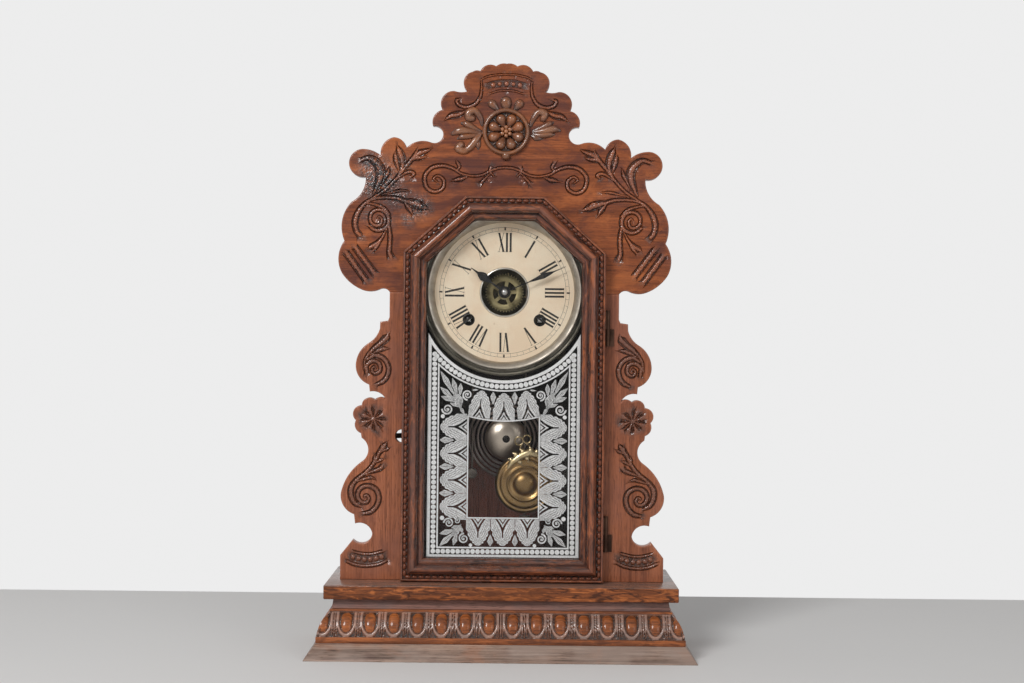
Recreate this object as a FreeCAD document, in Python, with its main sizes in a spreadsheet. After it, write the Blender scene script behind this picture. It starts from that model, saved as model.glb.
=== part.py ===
import FreeCAD
import Part
import Sketcher
import math
import os
import re

Vector = FreeCAD.Vector
Rotation = FreeCAD.Rotation

# Driving sizes of the clock, in millimetres.
SIZES = (
    # stepped base
    ("base_width", 376.0),
    ("base_board_height", 15.2),
    ("base_board_bevel", 11.0),
    ("frieze_height", 30.8),
    ("frieze_slope", 12.3),
    ("frieze_fillet", 6.1),
    ("frieze_lip", 2.2),
    ("frieze_wall", 16.0),
    ("neck_height", 10.0),
    ("neck_inset", 1.2),
    ("neck_slope", 1.6),
    ("shelf_thickness", 13.5),
    ("shelf_overhang", 7.3),
    # sawn front boards
    ("board_setback", 35.0),
    ("board_thickness", 12.0),
    ("wing_margin", 11.6),
    ("wing_height", 283.5),
    ("head_overhang", 4.8),
    ("head_height", 226.0),
    ("catch_hole_radius", 6.6),
    ("catch_hole_side", 99.5),
    ("catch_hole_height", 141.5),
    # applied carving on the crest
    ("rosette_radius", 23.6),
    ("rosette_rise", 158.4),
    ("rosette_floor", 1.4),
    ("rosette_relief", 5.4),
    ("leaf_length", 26.0),
    ("leaf_width", 11.0),
    ("leaf_gap", 1.0),
    # case behind the front boards
    ("case_wall", 10.0),
    ("case_top_gap", 8.0),
    ("backboard_thickness", 6.0),
    ("back_margin", 1.0),
    # door
    ("door_frame_width", 22.5),
    ("door_thickness", 20.0),
    ("door_gap", 0.5),
    ("door_foot_gap", 1.0),
    ("door_top_rise", 93.0),
    ("door_corner_rise", 38.4),
    ("door_top_half", 38.5),
    ("rabbet_depth", 6.0),
    ("rabbet_width", 3.4),
    ("glass_thickness", 2.0),
    ("glass_gap", 0.3),
    ("retainer_width", 4.0),
    ("hinge_height", 34.0),
    ("hinge_leaf", 1.2),
    ("hinge_reach", 6.5),
    ("knuckle_radius", 2.5),
    ("knuckle_gap", 0.1),
    ("hinge_pin_radius", 1.2),
    ("hinge_low", 30.0),
    ("hinge_high", 232.0),
    ("tongue_length", 24.0),
    ("tongue_height", 8.0),
    ("tongue_thickness", 1.6),
    ("tongue_inset", 2.4),
    ("notch_length", 5.0),
    ("catch_length", 18.0),
    ("catch_lift", 2.4),
    ("catch_pin_radius", 1.5),
    # dial
    ("dial_radius", 76.5),
    ("dial_side_gap", 7.5),
    ("pan_margin", 6.5),
    ("dial_lift", 1.0),
    ("dial_setback", 10.0),
    ("dial_thickness", 0.8),
    ("dial_eye", 22.9),
    ("dial_eye_ring", 1.9),
    ("bezel_width", 7.5),
    ("bezel_height", 7.0),
    ("winding_hole", 5.0),
    ("winding_ring", 1.0),
    ("ring_height", 1.2),
    ("dial_post_radius", 3.0),
    # hands
    ("hour_hand_length", 41.0),
    ("hour_hand_width", 9.0),
    ("hour_hub_radius", 6.0),
    ("minute_hand_length", 65.6),
    ("minute_hand_width", 5.2),
    ("minute_hub_radius", 4.4),
    ("hand_thickness", 0.8),
    ("hour_hand_rise", 4.0),
    ("minute_hand_rise", 7.0),
    ("hand_nut_radius", 3.0),
    ("hand_nut_height", 2.6),
    ("hour_hand_angle", 305.6),
    ("minute_hand_angle", 66.9),
    # movement
    ("motion_space", 24.2),
    ("plate_thickness", 1.6),
    ("plate_spacing", 31.4),
    ("plate_side", 26.8),
    ("plate_crown", 15.5),
    ("plate_foot", 8.0),
    ("pillar_radius", 3.0),
    ("rail_thickness", 7.0),
    ("rail_height", 14.0),
    ("screw_radius", 1.6),
    ("screw_head_radius", 3.2),
    ("screw_head_height", 2.0),
    ("winding_offset", 35.2),
    ("winding_drop", 27.4),
    ("winding_arbor_radius", 2.0),
    ("winding_square", 4.2),
    ("ratchet_radius", 9.0),
    ("arbor_radius", 0.85),
    ("pivot_gap", 0.1),
    ("wheel_thickness", 1.2),
    ("pinion_length", 4.4),
    ("shroud_thickness", 0.8),
    ("cannon_radius", 2.5),
    ("hour_pipe_radius", 3.4),
    ("spring_wire", 0.7),
    ("spring_pitch", 2.4),
    ("fly_radius", 9.0),
    ("hammer_drop", 36.0),
    ("hammer_head_radius", 5.0),
    ("hammer_head_length", 12.0),
    ("hammer_wire", 0.9),
    # pendulum
    ("stud_radius", 1.8),
    ("stud_head_radius", 2.8),
    ("pendulum_length", 235.0),
    ("pendulum_wire", 0.9),
    ("eye_radius", 4.0),
    ("bob_radius", 30.0),
    ("bob_depth", 9.0),
    ("crest_height", 17.0),
    ("crest_width", 26.0),
    ("crest_thickness", 2.4),
    ("crest_loop_radius", 4.6),
    ("crest_loop_wire", 0.8),
    ("rating_nut_radius", 5.0),
    ("rating_nut_height", 4.0),
    ("crutch_length", 60.0),
    ("crutch_wire", 0.6),
    ("crutch_gap", 2.0),
    # gong
    ("gong_side", 3.0),
    ("gong_height", 136.5),
    ("gong_standoff", 11.6),
    ("gong_base_radius", 18.4),
    ("gong_dome_radius", 22.0),
    ("gong_dome_height", 14.0),
    ("gong_wire", 1.5),
    ("gong_pitch", 4.4),
    ("gong_start_radius", 20.5),
    ("gong_lug", 3.0),
    # run of every cutting tool past the surface it cuts
    ("overrun", 1.0),
)

# Arbor places as shares of the winding offset and drop, seen from the front.
ARBOR_SHARES = {
    "time_great": (1.0, -1.0),
    "second": (0.588, -0.124),
    "centre": (0.0, 0.0),
    "third": (0.10, 0.719),
    "escape": (0.627, 0.967),
    "stud": (0.627, 1.624),
    "strike_great": (-1.0, -1.0),
    "strike_second": (-0.93, 0.02),
    "fly": (-0.98, 0.76),
    "minute": (-0.577, 0.427),
    "hammer": (-0.90, -2.117),
}

# Sizes and places that follow from the driving sizes.
PLACES = (
    ("base_half", "Size.base_width / 2"),
    ("frieze_half", "base_half - Size.base_board_bevel"),
    ("neck_half", "frieze_half - Size.frieze_slope - Size.neck_inset"),
    ("shelf_half", "neck_half + Size.shelf_overhang"),
    ("shelf_step", "base_half - shelf_half"),
    ("wing_half_width", "shelf_half - Size.wing_margin"),
    ("head_half_width", "wing_half_width + Size.head_overhang"),
    ("plate_half_width", "Size.winding_offset + Size.plate_side"),
    ("plate_rise", f"{ARBOR_SHARES['stud'][1]} * Size.winding_drop + Size.plate_crown"),
    ("plate_drop", f"{-ARBOR_SHARES['hammer'][1]} * Size.winding_drop + Size.plate_foot"),
    ("base_depth", "shelf_step + Size.board_setback + Size.dial_setback + Size.dial_thickness"
     " + Size.motion_space + 2 * Size.plate_thickness + Size.plate_spacing + Size.rail_thickness"
     " + Size.backboard_thickness + Size.back_margin"),
    ("y_base", "-base_depth / 2"),
    ("y_base_rear", "base_depth / 2"),
    ("y_frieze", "y_base + Size.base_board_bevel"),
    ("y_neck", "y_frieze + Size.frieze_slope + Size.neck_inset"),
    ("y_shelf", "y_base + shelf_step"),
    ("y_board", "y_shelf + Size.board_setback"),
    ("y_board_back", "y_board + Size.board_thickness"),
    ("y_door", "y_board - Size.door_gap"),
    ("y_dial", "y_board + Size.dial_setback"),
    ("y_dial_back", "y_dial + Size.dial_thickness"),
    ("y_plate", "y_dial_back + Size.motion_space"),
    ("y_train", "y_plate + Size.plate_thickness"),
    ("y_back_plate", "y_train + Size.plate_spacing"),
    ("y_rail", "y_back_plate + Size.plate_thickness"),
    ("y_backboard", "y_rail + Size.rail_thickness"),
    ("y_gong", "y_backboard - Size.gong_standoff"),
    ("z_frieze", "0 + Size.base_board_height"),
    ("z_neck", "z_frieze + Size.frieze_height"),
    ("z_shelf", "z_neck + Size.neck_height"),
    ("z_floor", "z_shelf + Size.shelf_thickness"),
    ("z_head", "z_floor + Size.wing_height"),
    ("z_dial", "z_head + Size.dial_lift"),
    ("z_door", "z_floor + Size.door_foot_gap"),
    ("z_door_top", "z_dial + Size.door_top_rise"),
    ("z_door_corner", "z_dial + Size.door_corner_rise"),
    ("z_case_top", "z_door_top + Size.case_top_gap"),
    ("z_catch", "z_floor + Size.catch_hole_height"),
    ("z_gong", "z_floor + Size.gong_height"),
    ("z_rosette", "z_head + Size.rosette_rise"),
    ("case_inner", "Size.dial_radius + Size.dial_side_gap"),
    ("case_outer", "case_inner + Size.case_wall"),
    ("door_half", "Size.dial_radius + Size.door_frame_width"),
    ("x_hinge", "door_half + Size.knuckle_radius + Size.knuckle_gap"),
    ("y_hinge", "y_door - Size.knuckle_radius - Size.knuckle_gap"),
    ("x_tongue", "-door_half + Size.tongue_inset"),
)

# Two outline points closer than this are one point.
SAME_POINT = 1e-6

doc = FreeCAD.newDocument("TableClock")


def make_sheet(name, rows, lead):
    table = doc.addObject("Spreadsheet::Sheet", name)
    for number, (alias, content) in enumerate(rows, start=1):
        cell = "B" + str(number)
        table.set("A" + str(number), alias)
        table.set(cell, lead + str(content))
        table.setAlias(cell, alias)
    doc.recompute()
    return table


size_sheet = make_sheet("Size", SIZES, "")
place_sheet = make_sheet("Place", PLACES, "=")
SIZE_NAMES = {row[0] for row in SIZES}
PLACE_NAMES = {row[0] for row in PLACES}


def num(name):
    table = size_sheet if name in SIZE_NAMES else place_sheet
    return float(table.get(name))


def ex(words):
    def lead(match):
        word = match.group(0)
        if word in SIZE_NAMES:
            return "Size." + word
        if word in PLACE_NAMES:
            return "Place." + word
        return word
    return re.sub(r"[a-z][a-z_]*", lead, words)


def bind(thing, **links):
    for prop, words in links.items():
        thing.setExpression(prop, ex(words))
    return thing


def put(thing, x="0", y="0", z="0", turn=None):
    if turn is not None:
        thing.Placement = FreeCAD.Placement(Vector(), turn)
    for axis, words in (("x", x), ("y", y), ("z", z)):
        thing.setExpression("Placement.Base." + axis, ex(words))
    return thing


# Turns that carry a cylinder's own axis onto the named axis.
AXIS_TURNS = {
    "X": Rotation(Vector(0, 1, 0), 90),
    "Y": Rotation(Vector(1, 0, 0), -90),
    "Z": Rotation(),
}


def box(label, length, width, height, x, y, z):
    block = doc.addObject("Part::Box", label)
    bind(block, Length=length, Width=width, Height=height)
    return put(block, x, y, z)


def rod(label, radius, length, x, y, z, axis="Y"):
    pin = doc.addObject("Part::Cylinder", label)
    bind(pin, Radius=radius, Height=length)
    return put(pin, x, y, z, AXIS_TURNS[axis])


def ball(label, radius, x, y, z):
    bead = doc.addObject("Part::Sphere", label)
    bind(bead, Radius=radius)
    return put(bead, x, y, z)


def leaf(label, across, along, x, y, z, lean):
    """A leaf that is round across, leaning from upright in the front plane."""
    lobe = doc.addObject("Part::Ellipsoid", label)
    bind(lobe, Radius1=across, Radius2=across, Radius3=along)
    lobe.Angle1 = -90
    lobe.Angle2 = 90
    lobe.Angle3 = 360
    facing = Rotation(Vector(1, 0, 0), 90)
    return put(lobe, x, y, z, Rotation(Vector(0, 1, 0), lean).multiply(facing))


def join(label, parts):
    whole = doc.addObject("Part::MultiFuse", label)
    whole.Shapes = parts
    return whole


def cut(label, base, tools):
    tool = tools[0]
    if len(tools) > 1:
        tool = join(label + "_tools", tools)
    left = doc.addObject("Part::Cut", label)
    left.Base = base
    left.Tool = tool
    return left


def common(label, one, other):
    shared = doc.addObject("Part::MultiCommon", label)
    shared.Shapes = [one, other]
    return shared


def group(label, parts):
    several = doc.addObject("Part::Compound", label)
    several.Links = parts
    return several


def edges_of(rows):
    """Closed outline: a row is a corner, or a point on an arc followed by the arc's end."""
    edges = []
    here = Vector(rows[0][0], rows[0][1], 0)
    first = here
    for row in rows[1:]:
        if isinstance(row[0], tuple):
            middle = Vector(row[0][0], row[0][1], 0)
            there = Vector(row[1][0], row[1][1], 0)
            edges.append(Part.Arc(here, middle, there))
        else:
            there = Vector(row[0], row[1], 0)
            edges.append(Part.LineSegment(here, there))
        here = there
    if not here.isEqual(first, SAME_POINT):
        edges.append(Part.LineSegment(here, first))
    return edges


def plane_of(body, role):
    return [item for item in body.Origin.OriginFeatures if item.Role == role][0]


def sketch_on(body, role, edges, circles=()):
    sketch = body.newObject("Sketcher::SketchObject", body.Name + "_outline")
    sketch.AttachmentSupport = (plane_of(body, role), [""])
    sketch.MapMode = "FlatFace"
    for edge in edges:
        sketch.addGeometry(edge, False)
    for count, (x, z, radius) in enumerate(circles):
        ring = Part.Circle(Vector(x, z, 0), Vector(0, 0, 1), num("overrun"))
        index = sketch.addGeometry(ring, False)
        sketch.addConstraint(Sketcher.Constraint("Radius", index, num("overrun")))
        sketch.setExpression("Constraints[" + str(count) + "]", ex(radius))
    return sketch


def pad_body(label, role, edges, length, x="0", y="0", z="0", circles=(), turn=None):
    body = doc.addObject("PartDesign::Body", label)
    sketch = sketch_on(body, role, edges, circles)
    pad = body.newObject("PartDesign::Pad", body.Name + "_pad")
    pad.Profile = sketch
    bind(pad, Length=length)
    body.Tip = pad
    return put(body, x, y, z, turn)


def front_pad(label, edges, length, x, y, z, circles=(), turn=None):
    """A flat piece seen from the front; y is its back face and it grows forward."""
    return pad_body(label, "XZ_Plane", edges, length, x, y, z, circles, turn)


def turned(label, rows, x, y, z):
    """A piece turned about the front-to-back axis; rows hold radius and depth."""
    body = doc.addObject("PartDesign::Body", label)
    sketch = sketch_on(body, "XY_Plane", edges_of(rows))
    spin = body.newObject("PartDesign::Revolution", body.Name + "_turned")
    spin.Profile = sketch
    spin.ReferenceAxis = (sketch, ["V_Axis"])
    body.Tip = spin
    return put(body, x, y, z)


def cap_height(radius, rim, rise):
    """Height over its rim of a round cap, at one radius."""
    ball = (rim * rim + rise * rise) / (2 * rise)
    return math.sqrt(ball * ball - radius * radius) - (ball - rise)


def mirrored(rows):
    """The left half that continues a right half ending on the centre line."""
    ends = [row[-1] if isinstance(row[0], tuple) else row for row in rows]
    back = []
    for index in range(len(rows) - 1, 0, -1):
        x, z = ends[index - 1]
        if isinstance(rows[index][0], tuple):
            via = rows[index][0]
            back.append(((-via[0], via[1]), (-x, z)))
        else:
            back.append((-x, z))
    return back


def scaled(rows, wide, high, start=0):
    done = []
    for row in rows:
        if isinstance(row[0], tuple):
            done.append(tuple((start + x * wide, z * high) for x, z in row))
        else:
            done.append((start + row[0] * wide, row[1] * high))
    return done


NODES = []


def node(piece):
    NODES.append(piece)
    return piece


# Stepped base: bevelled board, mitred frieze strips, neck with its core, shelf.
base_board = doc.addObject("Part::Wedge", "base_board")
bind(base_board, Xmin="-base_half", Xmax="base_half", X2min="-frieze_half", X2max="frieze_half",
     Ymin="0", Ymax="base_board_height", Zmin="y_base", Zmax="y_base_rear",
     Z2min="y_base", Z2max="-y_frieze")
node(put(base_board, turn=Rotation(Vector(1, 0, 0), 90)))

slope = num("frieze_slope")
high = num("frieze_height")
wall = num("frieze_wall")
fillet = num("frieze_fillet")
lip = num("frieze_lip")
BULGE_SHARES = (0.24, 0.52)
frieze_rows = [
    (0, 0),
    (0, fillet),
    ((slope * BULGE_SHARES[0], fillet + (high - fillet) * BULGE_SHARES[1]), (slope, high - lip)),
    (slope, high),
    (wall, high),
    (wall, 0),
]
frieze_half = num("frieze_half")
y_frieze = num("y_frieze")
y_rear = num("y_base_rear")
frieze_left_rows = frieze_rows
frieze_right_rows = scaled(frieze_rows, -1, 1)
frieze_runs = (
    ("front", "YZ_Plane", frieze_rows, "2 * frieze_half", ("-frieze_half", "y_frieze"),
     ((-frieze_half, y_frieze), (frieze_half, y_frieze),
      (frieze_half - wall, y_frieze + wall), (wall - frieze_half, y_frieze + wall))),
    ("left", "XZ_Plane", frieze_left_rows, "y_base_rear - y_frieze", ("-frieze_half", "y_base_rear"),
     ((-frieze_half, y_frieze), (wall - frieze_half, y_frieze + wall),
      (wall - frieze_half, y_rear), (-frieze_half, y_rear))),
    ("right", "XZ_Plane", frieze_right_rows, "y_base_rear - y_frieze", ("frieze_half", "y_base_rear"),
     ((frieze_half, y_frieze), (frieze_half - wall, y_frieze + wall),
      (frieze_half - wall, y_rear), (frieze_half, y_rear))),
)
strips = []
for name, role, rows, length, (x, y), plan in frieze_runs:
    run = pad_body("frieze_run_" + name, role, edges_of(rows), length, x, y, "z_frieze")
    mitre = pad_body("frieze_mitre_" + name, "XY_Plane", edges_of(plan), "frieze_height",
                     "0", "0", "z_frieze")
    strips.append(common("frieze_" + name, run, mitre))
node(group("base_frieze", strips))

base_core = box("base_core", "2 * frieze_half - 2 * frieze_wall",
                "y_base_rear - y_frieze - frieze_wall", "frieze_height",
                "frieze_wall - frieze_half", "y_frieze + frieze_wall", "z_frieze")
neck = doc.addObject("Part::Wedge", "neck_cove")
bind(neck, Xmin="-neck_half", Xmax="neck_half", X2min="neck_slope - neck_half",
     X2max="neck_half - neck_slope", Ymin="0", Ymax="neck_height", Zmin="y_base", Zmax="-y_neck",
     Z2min="y_base", Z2max="-y_neck - neck_slope")
put(neck, z="z_neck", turn=Rotation(Vector(1, 0, 0), 90))
node(join("base_neck", [base_core, neck]))
node(box("base_shelf", "2 * shelf_half", "y_base_rear - y_shelf", "shelf_thickness",
         "-shelf_half", "y_shelf", "z_shelf"))

# Case of plain boards behind the sawn front.
sides = []
for name, x in (("left", "-case_outer"), ("right", "case_inner")):
    sides.append(box("case_side_" + name, "case_wall", "y_backboard - y_board_back",
                     "z_case_top - z_floor", x, "y_board_back", "z_floor"))
node(group("case_sides", sides))
node(box("case_top", "2 * case_outer", "y_backboard - y_board_back", "case_wall",
         "-case_outer", "y_board_back", "z_case_top"))
node(box("backboard", "2 * case_outer", "backboard_thickness", "z_case_top + case_wall - z_floor",
         "-case_outer", "y_backboard", "z_floor"))

# Headboard: right half of the scrolled edge, as shares of half width and height.
HEAD_SHARES = (
    (0.690, 0.000),
    ((0.713, 0.013), (0.755, 0.010)),
    ((0.801, 0.002), (0.852, 0.007)),
    ((0.924, 0.037), (0.977, 0.079)),
    ((1.000, 0.134), (0.965, 0.221)),
    ((0.983, 0.291), (0.923, 0.392)),
    ((0.859, 0.439), (0.840, 0.501)),
    ((0.942, 0.557), (0.848, 0.622)),
    ((0.796, 0.614), (0.752, 0.595)),
    ((0.745, 0.634), (0.674, 0.675)),
    ((0.623, 0.661), (0.596, 0.630)),
    ((0.538, 0.656), (0.451, 0.654)),
    ((0.378, 0.693), (0.440, 0.727)),
    ((0.431, 0.773), (0.384, 0.796)),
    ((0.379, 0.857), (0.313, 0.879)),
    ((0.276, 0.874), (0.233, 0.878)),
    ((0.257, 0.926), (0.204, 0.964)),
    ((0.179, 0.970), (0.159, 0.967)),
    ((0.115, 0.994), (0.064, 0.989)),
    ((0.035, 1.000), (0.000, 1.000)),
)
inner = num("case_inner")
lift = num("dial_lift")
head_rows = scaled(HEAD_SHARES, num("head_half_width"), num("head_height"))
arch = ((0, lift + math.hypot(inner, lift)), (inner, 0))
head_edge = [(inner, 0)] + head_rows + mirrored(head_rows) + [(-inner, 0), arch]
node(front_pad("headboard", edges_of(head_edge), "board_thickness", "0", "y_board_back", "z_head"))

# Wings: outer edge from the top down, as shares of the reach past the case and of the height.
WING_SHARES = (
    (0.292, 1.000),
    (0.292, 0.912),
    (0.314, 0.900),
    (0.431, 0.896),
    (0.434, 0.873),
    ((0.477, 0.850), (0.602, 0.822)),
    ((0.739, 0.790), (0.795, 0.745)),
    ((0.751, 0.707), (0.590, 0.677)),
    (0.578, 0.653),
    ((0.441, 0.650), (0.338, 0.628)),
    ((0.429, 0.634), (0.504, 0.625)),
    ((0.626, 0.630), (0.697, 0.605)),
    ((0.817, 0.588), (0.785, 0.553)),
    ((0.788, 0.525), (0.705, 0.508)),
    (0.695, 0.492),
    ((0.595, 0.458), (0.683, 0.411)),
    ((0.875, 0.367), (1.000, 0.300)),
    ((0.949, 0.252), (0.797, 0.226)),
    (0.780, 0.194),
    ((0.570, 0.183), (0.519, 0.159)),
    ((0.619, 0.128), (0.817, 0.137)),
    (1.000, 0.084),
    (1.000, 0.000),
)
wing_high = num("wing_height")
wing_reach = num("wing_half_width") - num("case_outer")
for name, hand in (("left", -1), ("right", 1)):
    wing_rows = scaled(WING_SHARES, hand * wing_reach, wing_high, hand * num("case_outer"))
    wing_edge = [(hand * inner, wing_high)] + wing_rows + [(hand * inner, 0)]
    holes = ()
    if hand < 0:
        holes = ((-num("catch_hole_side"), num("catch_hole_height"), "catch_hole_radius"),)
    node(front_pad("wing_" + name, edges_of(wing_edge), "board_thickness", "0", "y_board_back",
                   "z_floor", holes))

# Rosette: ring and floor turned together, petals around a cluster of beads.
flower = num("rosette_radius")
floor = num("rosette_floor")
relief = num("rosette_relief")
RING_SHARES = (0.90, 0.80)
PETALS = 8
PETAL_TURN_SHARE = 0.5
PETAL_PLACE_SHARE = 0.53
PETAL_SHARES = (0.195, 0.31)
BEADS = 6
BEAD_PLACE_SHARE = 0.20
BEAD_SHARE = 0.11
rosette_rows = [
    (0, 0),
    (flower, 0),
    (flower, -floor),
    ((flower * RING_SHARES[0], -relief), (flower * RING_SHARES[1], -floor)),
    (0, -floor),
]
carving = [turned("rosette_ring", rosette_rows, "0", "y_board", "z_rosette")]
for count in range(PETALS):
    angle = 2 * math.pi * (count + PETAL_TURN_SHARE) / PETALS
    side = PETAL_PLACE_SHARE * math.sin(angle)
    rise = PETAL_PLACE_SHARE * math.cos(angle)
    carving.append(leaf("petal_" + str(count), f"{PETAL_SHARES[0]} * rosette_radius",
                        f"{PETAL_SHARES[1]} * rosette_radius", f"{side:.5f} * rosette_radius",
                        "y_board - rosette_floor", f"z_rosette + {rise:.5f} * rosette_radius",
                        math.degrees(angle)))
bead_spots = [(0, 0)]
for count in range(BEADS):
    angle = 2 * math.pi * count / BEADS
    bead_spots.append((BEAD_PLACE_SHARE * math.sin(angle), BEAD_PLACE_SHARE * math.cos(angle)))
for count, (side, rise) in enumerate(bead_spots):
    bead = f"{BEAD_SHARE} * rosette_radius"
    carving.append(ball("bead_" + str(count), bead, f"{side:.5f} * rosette_radius",
                        f"y_board - rosette_floor - {bead}", f"z_rosette + {rise:.5f} * rosette_radius"))
behind = box("rosette_back", "2 * head_half_width", "board_thickness", "head_height",
             "-head_half_width", "y_board", "z_head")
node(cut("crest_rosette", join("rosette_carving", carving), [behind]))

# Sprays around the rosette: place as shares of its radius, lean, shares of leaf length and width.
LEAF_SHARES = (
    # left: three leaf lobes, upper curl and its knob, lower curl and its knob, small leaf
    (-1.46, 0.19, -68, 0.78, 0.62),
    (-1.65, -0.03, -92, 1.08, 0.66),
    (-1.55, -0.20, -102, 0.90, 0.52),
    (-1.23, 0.62, -28, 0.66, 0.60),
    (-1.53, 0.68, 0, 0.34, 0.74),
    (-1.38, -0.47, -136, 0.86, 0.66),
    (-1.92, -0.65, 0, 0.34, 0.74),
    (-1.14, -0.50, 180, 0.48, 0.42),
    # right: three leaf lobes, curl and its knob, small leaf
    (1.54, 0.24, 67, 0.82, 0.58),
    (1.70, 0.06, 86, 1.05, 0.64),
    (1.57, -0.10, 91, 0.84, 0.52),
    (1.21, 0.60, 28, 0.64, 0.60),
    (1.54, 0.68, 0, 0.34, 0.74),
    (1.31, -0.20, 101, 0.50, 0.48),
    # three buds over the ring and the drop under it
    (-0.50, 1.06, -42, 0.56, 0.86),
    (-0.01, 1.20, 0, 0.62, 1.04),
    (0.46, 1.06, 35, 0.60, 0.86),
    (0.00, -0.99, 0, 0.38, 0.84),
)
leaves = []
for count, (side, rise, lean, long, wide) in enumerate(LEAF_SHARES):
    leaves.append(leaf("leaf_" + str(count), f"{wide} * leaf_width / 2", f"{long} * leaf_length / 2",
                       f"{side} * rosette_radius", "y_board",
                       f"z_rosette + {rise} * rosette_radius", lean))
behind = box("leaf_back", "2 * head_half_width", "board_thickness", "head_height",
             "-head_half_width", "y_board", "z_head")
seat = rod("leaf_seat", "rosette_radius + leaf_gap", "board_thickness",
           "0", "y_board - board_thickness", "z_rosette")
node(cut("crest_leaves", join("leaf_spray", leaves), [join("leaf_tools", [behind, seat])]))

# Door: six moulded members, mitred where they meet.
door_half = num("door_half")
door_wide = num("door_frame_width")
door_deep = num("door_thickness")
door_edge = [
    (-door_half, num("z_door")),
    (door_half, num("z_door")),
    (door_half, num("z_door_corner")),
    (num("door_top_half"), num("z_door_top")),
    (-num("door_top_half"), num("z_door_top")),
    (-door_half, num("z_door_corner")),
]


def inset(corners, distance):
    """The same convex outline, drawn in by one distance on every side."""
    result = []
    count = len(corners)
    for index in range(count):
        before = Vector(*corners[index - 1], 0)
        here = Vector(*corners[index], 0)
        after = Vector(*corners[(index + 1) % count], 0)
        one = (here - before).normalize()
        two = (after - here).normalize()
        bisector = Vector(-one.y - two.y, one.x + two.x, 0)
        reach = distance / (1 + one.dot(two))
        spot = here + bisector * reach
        result.append((spot.x, spot.y))
    return result


rabbet_deep = num("rabbet_depth")
rabbet_wide = num("rabbet_width")
# Moulding seen on its end: share of the frame width, share of the thickness.
MOULDING_SHARES = (
    (0.00, 0.62),
    (0.05, 0.70),
    (0.12, 0.70),
    (0.15, 0.64),
    (0.35, 0.64),
    (0.39, 0.78),
    ((0.62, 1.00), (0.84, 0.74)),
    (0.88, 0.62),
    (1.00, 0.46),
)
moulding = [(0, 0)] + scaled(MOULDING_SHARES, door_wide, door_deep) + [
    (door_wide, rabbet_deep),
    (door_wide - rabbet_wide, rabbet_deep),
    (door_wide - rabbet_wide, 0),
]
sight = inset(door_edge, door_wide)
members = {}
for index, name in enumerate(("bottom", "right", "corner_right", "top", "corner_left", "left")):
    start = door_edge[index]
    end = door_edge[(index + 1) % len(door_edge)]
    lean = math.degrees(math.atan2(end[1] - start[1], end[0] - start[0]))
    turn = Rotation(Vector(0, 1, 0), -lean).multiply(Rotation(Vector(1, 0, 0), 90))
    run = pad_body("door_run_" + name, "YZ_Plane", edges_of(moulding), "door_thickness", turn=turn)
    run.Tip.setExpression("Length", None)
    run.Tip.Length = math.dist(start, end)
    put(run, repr(start[0]), "y_door", repr(start[1]), turn)
    quad = [start, end, sight[(index + 1) % len(sight)], sight[index]]
    mitre = front_pad("door_mitre_" + name, edges_of(quad), "door_thickness + 2 * overrun",
                      "0", "y_door + overrun", "0")
    members[name] = common("door_member_" + name, run, mitre)
node(group("door_rails", [members["bottom"], members["top"]]))
node(group("door_stiles", [members["left"], members["right"]]))
node(group("door_corners", [members["corner_left"], members["corner_right"]]))

# Glass in the rabbet, held by strips behind it.
glass_edge = inset(door_edge, door_wide - rabbet_wide + num("glass_gap"))
node(front_pad("door_glass", edges_of(glass_edge), "glass_thickness",
               "0", "y_door - rabbet_depth + glass_thickness", "0"))
strip_outer = inset(door_edge, door_wide - rabbet_wide)
strip_inner = inset(door_edge, door_wide - rabbet_wide + num("retainer_width"))
strips = []
for index in range(len(door_edge)):
    after = (index + 1) % len(door_edge)
    quad = [strip_outer[index], strip_outer[after], strip_inner[after], strip_inner[index]]
    strips.append(front_pad("retainer_" + str(index), edges_of(quad),
                            "rabbet_depth - glass_thickness - door_gap",
                            "0", "y_door - door_gap", "0"))
node(group("glass_retainers", strips))

# Two butt hinges on the right edge.
case_leaves = []
door_leaves = []
pins = []
for name, start in (("low", "z_floor + hinge_low"), ("high", "z_floor + hinge_high")):
    half = "hinge_height / 2 - knuckle_gap"
    upper = start + " + hinge_height / 2 + knuckle_gap"
    plate = box("case_leaf_" + name, "hinge_reach", "hinge_leaf", half,
                "x_hinge", "y_board - hinge_leaf", start)
    barrel = rod("case_barrel_" + name, "knuckle_radius", half, "x_hinge", "y_hinge", start, "Z")
    bore = rod("case_bore_" + name, "hinge_pin_radius", "hinge_height",
               "x_hinge", "y_hinge", start + " - overrun", "Z")
    case_leaves.append(cut("case_hinge_" + name, join("case_half_" + name, [plate, barrel]), [bore]))
    plate = box("door_leaf_" + name, "hinge_leaf", "hinge_reach", half,
                "door_half", "y_hinge - hinge_reach", upper)
    barrel = rod("door_barrel_" + name, "knuckle_radius", half, "x_hinge", "y_hinge", upper, "Z")
    bore = rod("door_bore_" + name, "hinge_pin_radius + knuckle_gap / 2", "hinge_height",
               "x_hinge", "y_hinge", start + " - overrun", "Z")
    bore.setExpression("Height", ex("hinge_height + 2 * overrun"))
    door_leaves.append(cut("door_hinge_" + name, join("door_half_" + name, [plate, barrel]), [bore]))
    shaft = rod("pin_shaft_" + name, "hinge_pin_radius", "hinge_height + overrun",
                "x_hinge", "y_hinge", start, "Z")
    knob = rod("pin_head_" + name, "knuckle_radius", "hinge_leaf",
               "x_hinge", "y_hinge", start + " + hinge_height + knuckle_gap", "Z")
    pins.append(join("pin_" + name, [shaft, knob]))
node(group("hinge_leaves_case", case_leaves))
node(group("hinge_leaves_door", door_leaves))
node(group("hinge_pins", pins))

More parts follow.
